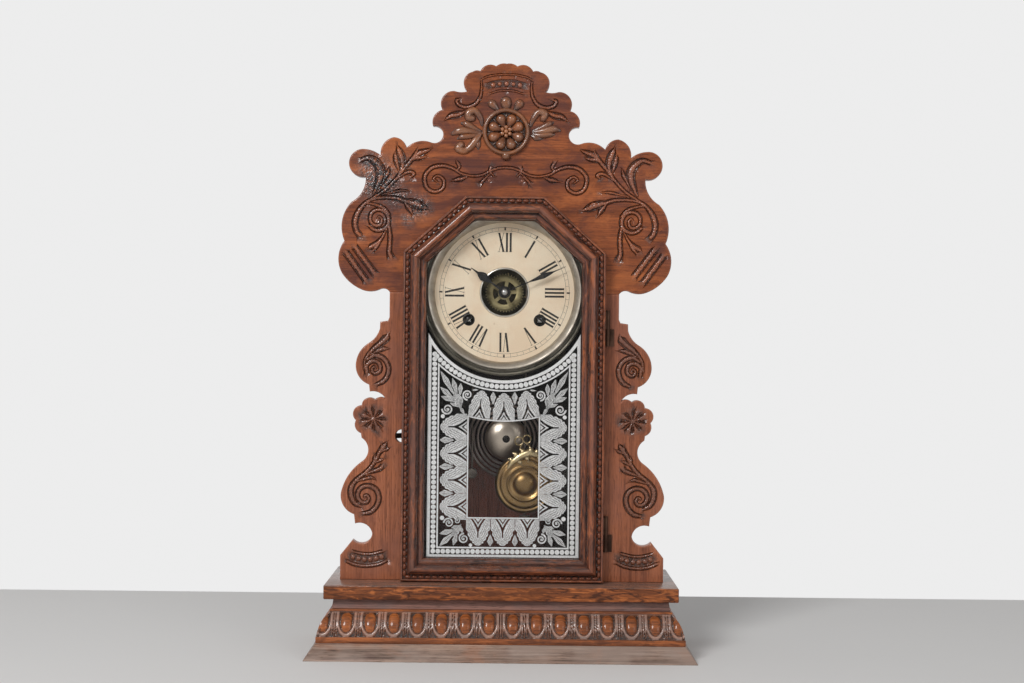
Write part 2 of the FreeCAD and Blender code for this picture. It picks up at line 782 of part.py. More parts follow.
# Catch: a notched tongue on the door passes through the hole in the left wing.
tongue = box("tongue_bar", "tongue_thickness", "tongue_length", "tongue_height",
             "x_tongue", "y_door", "z_catch - tongue_height / 2")
notch = box("tongue_notch", "tongue_thickness + 2 * overrun", "notch_length", "tongue_height / 2",
            "x_tongue - overrun", "y_door + tongue_length - 2 * notch_length", "z_catch + catch_lift / 2")
node(cut("door_tongue", tongue, [notch]))
deep = num("notch_length")
reach = num("catch_length")
tall = num("tongue_height")
NOSE_SHARES = (0.50, 0.46)
drop = num("catch_lift")
beak = deep * NOSE_SHARES[0]
catch_rows = [
    (-beak / 2, 0),
    (beak / 2, 0),
    (beak / 2, tall * NOSE_SHARES[1]),
    (reach, tall * NOSE_SHARES[1]),
    (reach, tall),
    (-beak / 2, tall),
]
lever = pad_body("catch_lever", "YZ_Plane", edges_of(catch_rows), "tongue_thickness",
                 "x_tongue", "y_door + tongue_length - 1.5 * notch_length",
                 "z_catch + tongue_height / 2 + catch_lift / 2")
eye = rod("catch_eye", "tongue_height / 2", "tongue_thickness",
          "x_tongue", "y_door + tongue_length - 1.5 * notch_length + catch_length",
          "z_catch + tongue_height + catch_lift / 2", "X")
hole = rod("catch_bore", "catch_pin_radius + knuckle_gap", "tongue_thickness + 2 * overrun",
           "x_tongue - overrun", "y_door + tongue_length - 1.5 * notch_length + catch_length",
           "z_catch + tongue_height + catch_lift / 2", "X")
node(cut("door_catch", join("catch_plate", [lever, eye]), [hole]))
shaft = rod("catch_pin_shaft", "catch_pin_radius", "-case_outer - x_tongue + tongue_thickness",
            "x_tongue - tongue_thickness", "y_door + tongue_length - 1.5 * notch_length + catch_length",
            "z_catch + tongue_height + catch_lift / 2", "X")
knob = rod("catch_pin_head", "tongue_height / 2 - overrun", "overrun",
           "x_tongue - tongue_thickness", "y_door + tongue_length - 1.5 * notch_length + catch_length",
           "z_catch + tongue_height + catch_lift / 2", "X")
node(join("catch_pin", [shaft, knob]))

# Dial: pan with its holes, bezel, small rings, posts to the movement.
aside = num("winding_offset")
below = num("winding_drop")
node(front_pad("dial_pan", [], "dial_thickness", "0", "y_dial_back", "z_dial",
               ((0, 0, "dial_radius + pan_margin"), (0, 0, "dial_eye"),
                (aside, -below, "winding_hole"), (-aside, -below, "winding_hole"))))
BEZEL_SHARES = (
    (0.00, 0.20),
    ((0.22, 0.62), (0.58, 0.92)),
    (0.80, 1.00),
    (1.00, 0.88),
    (1.00, 0.00),
)
bezel_in = num("dial_radius") - num("bezel_width")
bezel_rows = [(bezel_in, 0)]
for row in scaled(BEZEL_SHARES, num("bezel_width"), -num("bezel_height")):
    if isinstance(row[0], tuple):
        bezel_rows.append(tuple((bezel_in + r, y) for r, y in row))
    else:
        bezel_rows.append((bezel_in + row[0], row[1]))
node(turned("dial_bezel", bezel_rows, "0", "y_dial", "z_dial"))


def flat_ring(label, inside, width, height, x, z):
    rows = [(inside, 0), (inside, -height), (inside + width, -height), (inside + width, 0)]
    return turned(label, rows, x, "y_dial", z)


node(group("dial_rings", [
    flat_ring("centre_ring", num("dial_eye"), num("dial_eye_ring"), num("ring_height"), "0", "z_dial"),
    flat_ring("winding_ring_right", num("winding_hole"), num("winding_ring"), num("ring_height"),
              "winding_offset", "z_dial - winding_drop"),
    flat_ring("winding_ring_left", num("winding_hole"), num("winding_ring"), num("ring_height"),
              "-winding_offset", "z_dial - winding_drop"),
]))
POST_SHARES = ((0.80, 0.70), (-0.80, 0.70), (0.80, -0.70), (-0.80, -0.70))
node(group("dial_posts", [
    rod("dial_post_" + str(count), "dial_post_radius", "motion_space",
        f"{x} * plate_half_width", "y_dial_back", f"z_dial + {z} * plate_rise")
    for count, (x, z) in enumerate(POST_SHARES)
]))

# Wheel planes as shares of the plate spacing, measured back from the front plate.
PLANE_SHARES = {"second": 0.11, "great": 0.30, "centre": 0.56, "third": 0.78}
# Planes in front of the front plate as shares of the space under the dial.
MOTION_SHARES = {"minute": 0.115, "escape": 0.18, "hour": 0.27, "crutch": 0.34, "pendulum": 0.455}

TRAIN_PLANES = {name: f"y_train + {share} * plate_spacing" for name, share in PLANE_SHARES.items()}
MOTION_PLANES = {name: f"y_plate - {share} * motion_space" for name, share in MOTION_SHARES.items()}


def spot(name):
    x, z = ARBOR_SHARES[name]
    return f"{x} * winding_offset", f"z_dial + {z} * winding_drop"


def spot_mm(name):
    x, z = ARBOR_SHARES[name]
    return x * aside, z * below


def bearing(name, mate):
    x, z = spot_mm(name)
    to_x, to_z = spot_mm(mate)
    return math.atan2(to_z - z, to_x - x), math.hypot(to_x - x, to_z - z)


# Teeth of the wheels and pins of the pinions.
GREAT_TEETH = 72
SECOND_TEETH = 60
CENTRE_TEETH = 72
THIRD_TEETH = 80
MINUTE_TEETH = 36
HOUR_TEETH = 40
SECOND_PINS = 8
CENTRE_PINS = 10
THIRD_PINS = 8
ESCAPE_PINS = 8
FLY_PINS = 8
CANNON_PINS = 12
MINUTE_PINS = 10
SPOKES = 4
HOUR_SPOKES = 5
# Tooth form in modules: root, tip, half width at root and tip; pin and shroud of a pinion.
TOOTH_SHARES = (-0.85, 0.80, 0.78, 0.20)
PIN_SHARE = 0.45
SHROUD_SHARE = 0.80
SPOKE_SHARES = (0.26, 0.80, 0.09)


def polar(radius, angle):
    return radius * math.cos(angle), radius * math.sin(angle)


def toothed(label, name, mate, teeth, pins, plane, spokes, bore, thick="wheel_thickness"):
    """A spoked wheel with one tooth pointing at the pinion that it meets."""
    angle, reach = bearing(name, mate)
    module = 2 * reach / (teeth + pins)
    pitch = module * teeth / 2
    root, tip, wide, narrow = (share * module for share in TOOTH_SHARES)
    rows = []
    for count in range(teeth):
        middle = angle + 2 * math.pi * count / teeth
        rows.append(polar(pitch + root, middle - wide / pitch))
        rows.append(polar(pitch + tip, middle - narrow / pitch))
        rows.append(polar(pitch + tip, middle + narrow / pitch))
        rows.append(polar(pitch + root, middle + wide / pitch))
    edges = edges_of(rows)
    hub, rim, arm = (share * pitch for share in SPOKE_SHARES)
    for count in range(spokes):
        first = angle + 2 * math.pi * count / spokes
        last = angle + 2 * math.pi * (count + 1) / spokes
        middle = (first + last) / 2
        window = [
            polar(hub, first + arm / hub),
            polar(rim, first + arm / rim),
            (polar(rim, middle), polar(rim, last - arm / rim)),
            polar(hub, last - arm / hub),
            (polar(hub, middle), polar(hub, first + arm / hub)),
        ]
        edges += edges_of(window)
    x, z = spot(name)
    return front_pad(label, edges, thick, x, f"{plane} + {thick} / 2", z, ((0, 0, bore),))


def lantern(label, name, mate, pins, teeth, plane, bore):
    """Pins between two shrouds, with a gap facing the wheel that drives them."""
    angle, reach = bearing(name, mate)
    module = 2 * reach / (teeth + pins)
    pitch = module * pins / 2
    x, z = spot(name)
    parts = []
    for count in range(pins):
        here = angle + math.pi * (2 * count + 1) / pins
        side, rise = polar(pitch, here)
        part = rod(label + "_pin_" + str(count), "shroud_thickness", "pinion_length",
                   f"{x} + {side:.6f}", f"{plane} - pinion_length / 2", f"{z} + {rise:.6f}")
        part.setExpression("Radius", None)
        part.Radius = PIN_SHARE * module
        parts.append(part)
    for name_end, y in (("front", f"{plane} - pinion_length / 2"),
                        ("rear", f"{plane} + pinion_length / 2 - shroud_thickness")):
        disc = front_pad(label + "_shroud_" + name_end, [], "shroud_thickness",
                         x, y + " + shroud_thickness", z, ((0, 0, bore),))
        rim = disc.Group[0]
        index = rim.addGeometry(Part.Circle(Vector(), Vector(0, 0, 1),
                                            pitch + SHROUD_SHARE * module), False)
        rim.addConstraint(Sketcher.Constraint("Radius", index, pitch + SHROUD_SHARE * module))
        parts.append(disc)
    return parts


def arbor(label, name, radius, y, length):
    x, z = spot(name)
    return rod(label, radius, length, x, y, z)


def tube(label, name, outer, inside, y, length):
    x, z = spot(name)
    return front_pad(label, [], length, x, f"{y} + {length}", z, ((0, 0, outer), (0, 0, inside)))


through = "y_rail - y_plate"

# Plates, with a hole for every arbor.
plate_wide = num("plate_half_width")
plate_up = num("plate_rise")
plate_down = num("plate_drop")
plate_edge = [(-plate_wide, -plate_down), (plate_wide, -plate_down),
              (plate_wide, plate_up), (-plate_wide, plate_up)]
thin_holes = [spot_mm(name) + ("arbor_radius + pivot_gap",)
              for name in ("second", "centre", "third", "escape", "strike_second", "fly", "hammer")]
winding_holes = [spot_mm(name) + ("winding_arbor_radius + pivot_gap",)
                 for name in ("time_great", "strike_great")]
SCREW_SHARES = ((0.77, 0.0), (-0.77, 0.0), (0.77, 1.0), (-0.77, 1.0))
rail_mid = num("rail_height") / 2
screw_spots = [(x * plate_wide, (plate_up - rail_mid) * up - (plate_down - rail_mid) * (1 - up))
               for x, up in SCREW_SHARES]
screw_holes = [spot_ + ("screw_radius",) for spot_ in screw_spots]
plate = front_pad("front_sheet", edges_of(plate_edge), "plate_thickness", "0", "y_train", "z_dial",
                  thin_holes + winding_holes)
minute_stud = arbor("minute_stud", "minute", "arbor_radius",
                    f"y_plate - {MOTION_SHARES['hour']} * motion_space - pinion_length",
                    f"{MOTION_SHARES['hour']} * motion_space + pinion_length + plate_thickness / 2")
node(join("front_plate", [plate, minute_stud]))
node(front_pad("back_plate", edges_of(plate_edge), "plate_thickness", "0", "y_rail", "z_dial",
               thin_holes + winding_holes + screw_holes))
PILLAR_SHARES = ((0.90, 0.90), (-0.90, 0.90), (0.90, -1.0), (-0.90, -1.0))
node(group("plate_pillars", [
    rod("pillar_" + str(count), "pillar_radius", "plate_spacing",
        f"{x} * plate_half_width", "y_train", f"z_dial + {z} * plate_rise")
    for count, (x, z) in enumerate(PILLAR_SHARES)
]))
rails = []
for name, low in (("low", "z_dial - plate_drop"), ("high", "z_dial + plate_rise - rail_height")):
    rail = box("rail_block_" + name, "2 * plate_half_width", "rail_thickness", "rail_height",
               "-plate_half_width", "y_rail", low)
    holes = [rod(f"rail_hole_{name}_{hand}", "screw_radius", "rail_thickness - overrun",
                 f"{hand * SCREW_SHARES[0][0]} * plate_half_width", "y_rail", low + " + rail_height / 2")
             for hand in (-1, 1)]
    rails.append(cut("rail_" + name, rail, holes))
node(group("movement_rails", rails))
screws = []
for name, low in (("low", "z_dial - plate_drop"), ("high", "z_dial + plate_rise - rail_height")):
    for hand in (-1, 1):
        x = f"{hand * SCREW_SHARES[0][0]} * plate_half_width"
        z = low + " + rail_height / 2"
        shank = rod(f"screw_shank_{name}_{hand}", "screw_radius",
                    "plate_thickness + rail_thickness - overrun", x, "y_back_plate", z)
        head = rod(f"screw_head_{name}_{hand}", "screw_head_radius", "screw_head_height",
                   x, "y_back_plate - screw_head_height", z)
        screws.append(join(f"screw_{name}_{hand}", [shank, head]))
node(group("movement_screws", screws))

# Winding arbors with ratchets, great wheels and mainsprings.
RATCHET_TEETH = 14
RATCHET_SHARE = 0.82
ratchet = num("ratchet_radius")
ratchet_rows = []
for count in range(RATCHET_TEETH):
    angle = 2 * math.pi * count / RATCHET_TEETH
    ratchet_rows.append(polar(ratchet, angle))
    ratchet_rows.append(polar(ratchet * RATCHET_SHARE, angle))
square = num("winding_square") / 2
square_rows = [(-square, -square), (square, -square), (square, square), (-square, square)]
SPRING_TURNS = 8
for name, mate, hand in (("time", "second", 1), ("strike", "strike_second", -1)):
    home = name + "_great"
    x, z = spot(home)
    shaft = arbor(name + "_shaft", home, "winding_arbor_radius", "y_plate", through)
    key_end = front_pad(name + "_square", edges_of(square_rows),
                        "y_plate - y_dial_back - ring_height", x, "y_plate", z)
    saw = front_pad(name + "_ratchet", edges_of(ratchet_rows), "wheel_thickness",
                    x, f"{TRAIN_PLANES['great']} - wheel_thickness", z)
    node(join(name + "_winding_arbor", [shaft, key_end, saw]))
    great = toothed(name + "_great_wheel", home, mate, GREAT_TEETH, SECOND_PINS, TRAIN_PLANES["great"], 0,
                    "winding_arbor_radius + pivot_gap")
    node(great)
    wire = num("spring_wire")
    step = num("spring_pitch") / 2
    radius = num("winding_arbor_radius")
    rows = [(radius, 0)]
    outward = []
    for turn in range(2 * SPRING_TURNS):
        here = radius + turn * step
        centre = 0 if turn % 2 == 0 else step
        hand_now = 1 if turn % 2 == 0 else -1
        outward.append((centre, here, hand_now))
    for centre, here, hand_now in outward:
        rows.append(((centre, hand_now * here), (centre - hand_now * here, 0)))
    last_centre, last, last_hand = outward[-1]
    rows.append((last_centre - last_hand * (last + wire), 0))
    for index in range(len(outward) - 1, -1, -1):
        centre, here, hand_now = outward[index]
        rows.append(((centre, hand_now * (here + wire)), (centre + hand_now * (here + wire), 0)))
    node(front_pad(name + "_mainspring", edges_of(rows), "plate_spacing / 2",
                   x, "y_back_plate - overrun", z))

# Going train.
node(join("second_wheel", [
    toothed("second_disc", "second", "centre", SECOND_TEETH, CENTRE_PINS, TRAIN_PLANES["second"],
            SPOKES, "arbor_radius"),
    arbor("second_arbor", "second", "arbor_radius", "y_plate", through),
] + lantern("second_pinion", "second", "time_great", SECOND_PINS, GREAT_TEETH,
            TRAIN_PLANES["great"], "arbor_radius")))
node(join("centre_wheel", [
    toothed("centre_disc", "centre", "third", CENTRE_TEETH, THIRD_PINS, TRAIN_PLANES["centre"],
            SPOKES, "arbor_radius"),
    arbor("centre_arbor", "centre", "arbor_radius", "y_dial - hour_hand_rise",
          "y_rail - y_dial + hour_hand_rise"),
] + lantern("centre_pinion", "centre", "second", CENTRE_PINS, SECOND_TEETH,
            TRAIN_PLANES["second"], "arbor_radius")))
node(join("third_wheel", [
    toothed("third_disc", "third", "escape", THIRD_TEETH, ESCAPE_PINS, TRAIN_PLANES["third"],
            SPOKES, "arbor_radius"),
    arbor("third_arbor", "third", "arbor_radius", "y_plate", through),
] + lantern("third_pinion", "third", "centre", THIRD_PINS, CENTRE_TEETH, TRAIN_PLANES["centre"],
            "arbor_radius")))
ESCAPE_TEETH = 40
ESCAPE_SHARES = (0.64, 0.86, 0.30)
drop = bearing("stud", "escape")[1]
escape_radius = ESCAPE_SHARES[0] * drop
escape_rows = []
for count in range(ESCAPE_TEETH):
    angle = 2 * math.pi * count / ESCAPE_TEETH
    escape_rows.append(polar(escape_radius, angle))
    escape_rows.append(polar(escape_radius * ESCAPE_SHARES[1],
                             angle + ESCAPE_SHARES[2] * 2 * math.pi / ESCAPE_TEETH))
x, z = spot("escape")
escape_disc = front_pad("escape_disc", edges_of(escape_rows), "wheel_thickness", x,
                        MOTION_PLANES["escape"] + " + wheel_thickness / 2", z, ((0, 0, "arbor_radius"),))
escape_front = MOTION_PLANES["escape"] + " - wheel_thickness / 2"
node(join("escape_wheel", [
    escape_disc,
    arbor("escape_arbor", "escape", "arbor_radius", escape_front, f"y_rail - ({escape_front})"),
] + lantern("escape_pinion", "escape", "third", ESCAPE_PINS, THIRD_TEETH, TRAIN_PLANES["third"],
            "arbor_radius")))

# Strike train.
node(join("strike_second_wheel", [
    toothed("strike_second_disc", "strike_second", "fly", SECOND_TEETH, FLY_PINS,
            TRAIN_PLANES["second"], SPOKES, "arbor_radius"),
    arbor("strike_second_arbor", "strike_second", "arbor_radius", "y_plate", through),
] + lantern("strike_second_pinion", "strike_second", "strike_great", SECOND_PINS, GREAT_TEETH,
            TRAIN_PLANES["great"],
            "arbor_radius")))
x, z = spot("fly")
vane = box("fly_sail", "2 * fly_radius", "plate_spacing / 3", "wheel_thickness",
           f"{x} - fly_radius", TRAIN_PLANES["centre"], f"{z} - wheel_thickness / 2")
node(join("strike_fly", [
    vane,
    arbor("fly_arbor", "fly", "arbor_radius", "y_plate", through),
] + lantern("fly_pinion", "fly", "strike_second", FLY_PINS, SECOND_TEETH, TRAIN_PLANES["second"],
            "arbor_radius")))
x, z = spot("hammer")
hammer_plane = "y_gong - gong_dome_height / 2"
hammer_foot = "z_gong - hammer_drop"
node(join("strike_hammer", [
    arbor("hammer_arbor", "hammer", "arbor_radius", "y_plate", through),
    arbor("hammer_hub", "hammer", "2 * arbor_radius", hammer_plane + " - wheel_thickness",
          "2 * wheel_thickness"),
    rod("hammer_rod", "hammer_wire", f"{z} - ({hammer_foot})", x, hammer_plane, hammer_foot, "Z"),
    rod("hammer_head", "hammer_head_radius", "hammer_head_length",
        x, hammer_plane + " - hammer_head_length / 3", hammer_foot),
]))

# Motion work and hands.
cannon_rear = MOTION_PLANES["minute"] + " + pinion_length / 2"
minute_front = "y_dial - minute_hand_rise - hand_thickness"
node(join("cannon_pinion", [
    tube("cannon_tube", "centre", "cannon_radius", "arbor_radius + pivot_gap", minute_front,
         f"{cannon_rear} - ({minute_front})"),
] + lantern("cannon_cage", "centre", "minute", CANNON_PINS, MINUTE_TEETH, MOTION_PLANES["minute"],
            "cannon_radius")))
minute_tube_front = MOTION_PLANES["hour"] + " - pinion_length / 2"
node(join("minute_wheel", [
    toothed("minute_disc", "minute", "centre", MINUTE_TEETH, CANNON_PINS, MOTION_PLANES["minute"],
            SPOKES, "2 * arbor_radius"),
    tube("minute_tube", "minute", "2 * arbor_radius", "arbor_radius + pivot_gap", minute_tube_front,
         f"{MOTION_PLANES['minute']} + wheel_thickness - ({minute_tube_front})"),
] + lantern("minute_pinion", "minute", "centre", MINUTE_PINS, HOUR_TEETH, MOTION_PLANES["hour"],
            "2 * arbor_radius")))
hour_front = "y_dial - hour_hand_rise - hand_thickness"
hour_rear = MOTION_PLANES["hour"] + " + wheel_thickness / 2"
node(join("hour_wheel", [
    toothed("hour_disc", "centre", "minute", HOUR_TEETH, MINUTE_PINS, MOTION_PLANES["hour"],
            HOUR_SPOKES, "hour_pipe_radius"),
    tube("hour_pipe", "centre", "hour_pipe_radius", "cannon_radius + pivot_gap", hour_front,
         f"{hour_rear} - ({hour_front})"),
]))
# Half outline of a leaf-shaped hand: share of half width, share of length.
HAND_SHARES = (
    (0.20, 0.00),
    (0.20, 0.40),
    ((0.55, 0.50), (1.00, 0.63)),
    ((0.70, 0.72), (0.24, 0.80)),
    (0.06, 1.00),
    (0.00, 1.00),
)
for name, hub_bore in (("hour", "hour_pipe_radius"), ("minute", "cannon_radius")):
    half = scaled(HAND_SHARES, num(name + "_hand_width") / 2, num(name + "_hand_length"))
    turn = Rotation(Vector(0, 1, 0), num(name + "_hand_angle"))
    back = f"y_dial - {name}_hand_rise"
    blade = front_pad(name + "_blade", edges_of(half + mirrored(half)), "hand_thickness",
                      "0", back, "z_dial", (), turn)
    blade.setExpression("Placement.Rotation.Angle", ex(name + "_hand_angle"))
    hub = rod(name + "_hub", name + "_hub_radius", "hand_thickness", "0",
              back + " - hand_thickness", "z_dial")
    hole = rod(name + "_bore", hub_bore, "hand_thickness + 2 * overrun",
               "0", back + " - hand_thickness - overrun", "z_dial")
    node(cut(name + "_hand", join(name + "_hand_whole", [blade, hub]), [hole]))
nut = num("hand_nut_radius")
nut_high = num("hand_nut_height")
NUT_SHARES = (0.40, 0.60)
nut_edge = nut_high * NUT_SHARES[0]
nut_mid = nut * NUT_SHARES[1]
nut_rows = [
    (0, 0),
    (nut, 0),
    (nut, -nut_edge),
    ((nut_mid, -nut_edge - cap_height(nut_mid, nut, nut_high - nut_edge)), (0, -nut_high)),
]
node(turned("hand_nut", nut_rows, "0", minute_front, "z_dial"))

# Suspension stud, verge with crutch, pendulum.
x, z = spot("stud")
stud_front = MOTION_PLANES["pendulum"] + " - 2 * pendulum_wire"
node(join("suspension_stud", [
    rod("stud_shaft", "stud_radius", f"y_plate - ({stud_front})", x, stud_front, z),
    rod("stud_head", "stud_head_radius", "wheel_thickness", x, stud_front + " - wheel_thickness", z),
]))
# Half outline of the verge, as shares of the drop from the stud to the escape arbor.
VERGE_SHARES = (
    (0.00, -0.13),
    (0.40, -0.22),
    (0.62, -0.50),
    (0.72, -0.48),
    (0.48, -0.06),
    ((0.20, 0.14), (0.00, 0.20)),
)
half = scaled(VERGE_SHARES, drop, drop)
crutch_y = MOTION_PLANES["crutch"]
crutch_low = f"{z} - crutch_length"
prongs = [
    rod("crutch_prong_" + str(hand), "crutch_wire",
        f"{crutch_y} - ({MOTION_PLANES['pendulum']}) + 2 * pendulum_wire",
        f"{x} + {hand} * crutch_gap", MOTION_PLANES["pendulum"] + " - 2 * pendulum_wire", crutch_low)
    for hand in (-1, 1)
]
hub_front = crutch_y + " - 2 * crutch_wire"
hub_rear = MOTION_PLANES["escape"] + " + wheel_thickness / 2"
verge_parts = [
    front_pad("verge_plate", edges_of(half + mirrored(half)), "wheel_thickness", x, hub_rear, z),
    rod("verge_hub", "stud_head_radius + crutch_wire", f"{hub_rear} - ({hub_front})", x, hub_front, z),
    rod("crutch_rod", "crutch_wire", "crutch_length", x, crutch_y, crutch_low, "Z"),
    rod("crutch_bar", "crutch_wire", "2 * crutch_gap", f"{x} - crutch_gap", crutch_y, crutch_low, "X"),
] + prongs
verge_bore = rod("verge_bore", "stud_radius + pivot_gap", f"{hub_rear} - ({hub_front}) + 2 * overrun",
                 x, hub_front + " - overrun", z)
node(cut("verge", join("verge_whole", verge_parts), [verge_bore]))
pendulum_y = MOTION_PLANES["pendulum"]
eye_thick = "2 * pendulum_wire + shroud_thickness / 2"
eye_front = f"{pendulum_y} - pendulum_wire - shroud_thickness / 4"
rod_foot = "pendulum_length + bob_radius + 2 * rating_nut_height"
eye_parts = [
    rod("pendulum_eye", "eye_radius", eye_thick, x, eye_front, z),
    rod("pendulum_shaft", "pendulum_wire", f"{rod_foot} - eye_radius / 2 - stud_radius / 2",
        x, pendulum_y, f"{z} - ({rod_foot})", "Z"),
    rod("rating_nut", "rating_nut_radius", "rating_nut_height",
        x, pendulum_y, f"{z} - pendulum_length - bob_radius - 1.5 * rating_nut_height", "Z"),
]
eye_bore = rod("pendulum_bore", "stud_radius + pivot_gap", eye_thick + " + 2 * overrun",
               x, eye_front + " - overrun", z)
node(cut("pendulum_rod", join("pendulum_whole", eye_parts), [eye_bore]))
# Bob seen in section: share of radius, share of depth, from the back to the front.
BOB_SHARES = (
    (0.00, 0.00),
    (1.00, 0.00),
    (1.00, 0.24),
    ((0.955, 0.42), (0.88, 0.34)),
    (0.80, 0.40),
    ((0.72, 0.62), (0.62, 0.50)),
    (0.52, 0.54),
    ((0.45, 0.70), (0.38, 0.62)),
    (0.36, 0.66),
)
BOB_CAP_SHARE = 0.60
bob_rows = scaled(BOB_SHARES, num("bob_radius"), -num("bob_depth"))
cap_rim, cap_seat = bob_rows[-1]
cap_mid = cap_rim * BOB_CAP_SHARE
cap_rise = num("bob_depth") + cap_seat
bob_rows.append(((cap_mid, cap_seat - cap_height(cap_mid, cap_rim, cap_rise)), (0, cap_seat - cap_rise)))
bob_z = f"{z} - pendulum_length"
bob_groove = rod("bob_groove", "pendulum_wire", "2 * bob_radius + 2 * overrun",
                 x, pendulum_y, f"{bob_z} - bob_radius - overrun", "Z")
node(cut("pendulum_bob", turned("bob_disc", bob_rows, x, pendulum_y, bob_z), [bob_groove]))
crest_half = num("crest_width") / 2
crest_high = num("crest_height")
CREST_SHARES = (
    (0.00, 0.00),
    (0.55, 0.00),
    ((0.80, 0.12), (1.00, 0.36)),
    ((0.86, 0.44), (0.70, 0.42)),
    ((0.74, 0.62), (0.56, 0.78)),
    ((0.44, 0.72), (0.36, 0.62)),
    ((0.24, 0.88), (0.00, 1.00)),
)
half = scaled(CREST_SHARES, crest_half, crest_high)
crest_parts = [front_pad("crest_leaf", edges_of(half + mirrored(half)), "crest_thickness",
                         x, pendulum_y, f"{bob_z} + bob_radius - crest_thickness / 2")]
LOOP_SHARE = 0.42
for hand in (-1, 1):
    loop = doc.addObject("Part::Torus", "crest_loop_" + ("left" if hand < 0 else "right"))
    bind(loop, Radius1="crest_loop_radius", Radius2="crest_loop_wire")
    loop.Angle1 = -180
    loop.Angle2 = 180
    loop.Angle3 = 360
    put(loop, f"{x} + {hand * LOOP_SHARE} * crest_width / 2",
        f"{pendulum_y} - crest_thickness / 2",
        f"{bob_z} + bob_radius + {1 - LOOP_SHARE / 2} * crest_height + crest_loop_radius", AXIS_TURNS["Y"])
    crest_parts.append(loop)
crest_whole = join("crest_whole", crest_parts)
bob_seat = rod("crest_seat", "bob_radius", "bob_depth + 2 * overrun",
               x, f"{pendulum_y} - bob_depth - overrun", bob_z)
crest_groove = rod("crest_groove", "pendulum_wire", "2 * crest_height + bob_radius",
                   x, pendulum_y, bob_z, "Z")
node(cut("bob_crest", crest_whole, [bob_seat, crest_groove]))

# Gong: base with a lug, dome, and the coil wound in one unbroken wire.
base_parts = [
    rod("gong_block", "gong_base_radius", "gong_standoff + gong_lug",
        "gong_side", "y_gong - gong_lug", "z_gong"),
    box("gong_lug_block", "gong_start_radius - gong_base_radius / 2 + gong_wire",
        "2 * gong_wire + overrun",
        "gong_lug", "gong_side + gong_base_radius / 2", "y_gong - gong_wire - overrun / 2",
        "z_gong - 2 * gong_wire - gong_lug"),
]
node(join("gong_base", base_parts))
dome = num("gong_dome_radius")
dome_high = num("gong_dome_height")
DOME_SHARES = (0.62, 0.14, 1.12)
dome_mid = dome * DOME_SHARES[0]
dome_eye = dome * DOME_SHARES[1]
dome_rows = [
    (0, 0),
    (dome, 0),
    ((dome_mid, -cap_height(dome_mid, dome, dome_high)), (dome_eye, -cap_height(dome_eye, dome,
        dome_high))),
    (dome_eye, -dome_high * DOME_SHARES[2]),
    (0, -dome_high * DOME_SHARES[2]),
]
node(turned("gong_dome", dome_rows, "gong_side", "y_gong - gong_lug", "z_gong"))
GONG_HALF_TURNS = 11
wire = num("gong_wire")
pitch = num("gong_pitch")
begin = num("gong_start_radius")
path = [Part.LineSegment(Vector(begin, 0, -2 * wire), Vector(begin, 0, 0)).toShape()]
samples = []
for turn in range(GONG_HALF_TURNS):
    radius = begin + turn * pitch / 2
    centre = 0 if turn % 2 == 0 else pitch / 2
    hand = 1 if turn % 2 == 0 else -1
    start = Vector(centre + hand * radius, 0, 0)
    top = Vector(centre, 0, hand * radius)
    end = Vector(centre - hand * radius, 0, 0)
    path.append(Part.Arc(start, top, end).toShape())
tail = Vector(end.x, 0, end.z - hand * 2 * wire)
path.append(Part.LineSegment(end, tail).toShape())
spine = Part.Wire(path)
mouth = Part.Wire([Part.Circle(Vector(begin, 0, -2 * wire), Vector(0, 0, 1), wire).toShape()])
coil = doc.addObject("Part::Feature", "gong_coil")
coil.Shape = spine.makePipeShell([mouth], True, False)
put(coil, "gong_side", "y_gong", "z_gong")
node(coil)
SAMPLES_PER_EDGE = 40
for order, edge in enumerate(path):
    samples += [(order, spot_) for spot_ in edge.discretize(SAMPLES_PER_EDGE)]
least = min((one.distanceToPoint(two) for place, one in samples for other, two in samples
             if abs(place - other) > 1), default=0) - 2 * wire

doc.recompute()
print("least gap of the gong wire to itself, mm:", round(least, 3))

# Every piece must be sound before it is written.
for thing in doc.Objects:
    if "Invalid" in thing.State or "Error" in thing.State:
        raise RuntimeError("not sound: " + thing.Label)
os.makedirs("parts", exist_ok=True)
for piece in NODES:
    shape = piece.Shape
    if shape.isNull() or not shape.isValid() or not shape.Solids:
        raise RuntimeError("not a valid shape: " + piece.Label)
    shape.exportStep("parts/" + piece.Label + ".step")
print("pieces:", len(NODES))
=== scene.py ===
"""Looks of the shelf clock: carved oak front, glazed door with a silver stencil, paper dial,
pendulum and gong."""
import math

import bmesh
import bpy
import numpy as np
from mathutils import Matrix, Vector
from mathutils.geometry import delaunay_2d_cdt
from mathutils.kdtree import KDTree


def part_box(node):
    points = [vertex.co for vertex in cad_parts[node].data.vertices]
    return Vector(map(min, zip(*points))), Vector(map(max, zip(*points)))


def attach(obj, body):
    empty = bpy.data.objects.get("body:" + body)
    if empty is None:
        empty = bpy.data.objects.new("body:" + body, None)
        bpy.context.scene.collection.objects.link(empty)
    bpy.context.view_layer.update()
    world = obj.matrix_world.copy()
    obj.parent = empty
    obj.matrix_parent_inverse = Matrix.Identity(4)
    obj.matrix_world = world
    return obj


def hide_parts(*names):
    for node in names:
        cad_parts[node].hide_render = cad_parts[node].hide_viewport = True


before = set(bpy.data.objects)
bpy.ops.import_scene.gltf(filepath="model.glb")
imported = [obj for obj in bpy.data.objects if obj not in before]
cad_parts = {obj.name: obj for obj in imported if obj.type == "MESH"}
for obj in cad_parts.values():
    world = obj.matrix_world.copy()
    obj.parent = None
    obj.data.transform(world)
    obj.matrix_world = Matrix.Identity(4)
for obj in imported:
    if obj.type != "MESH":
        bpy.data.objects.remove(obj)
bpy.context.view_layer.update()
MM = 0.001


# ---------------------------------------------------------------- camera

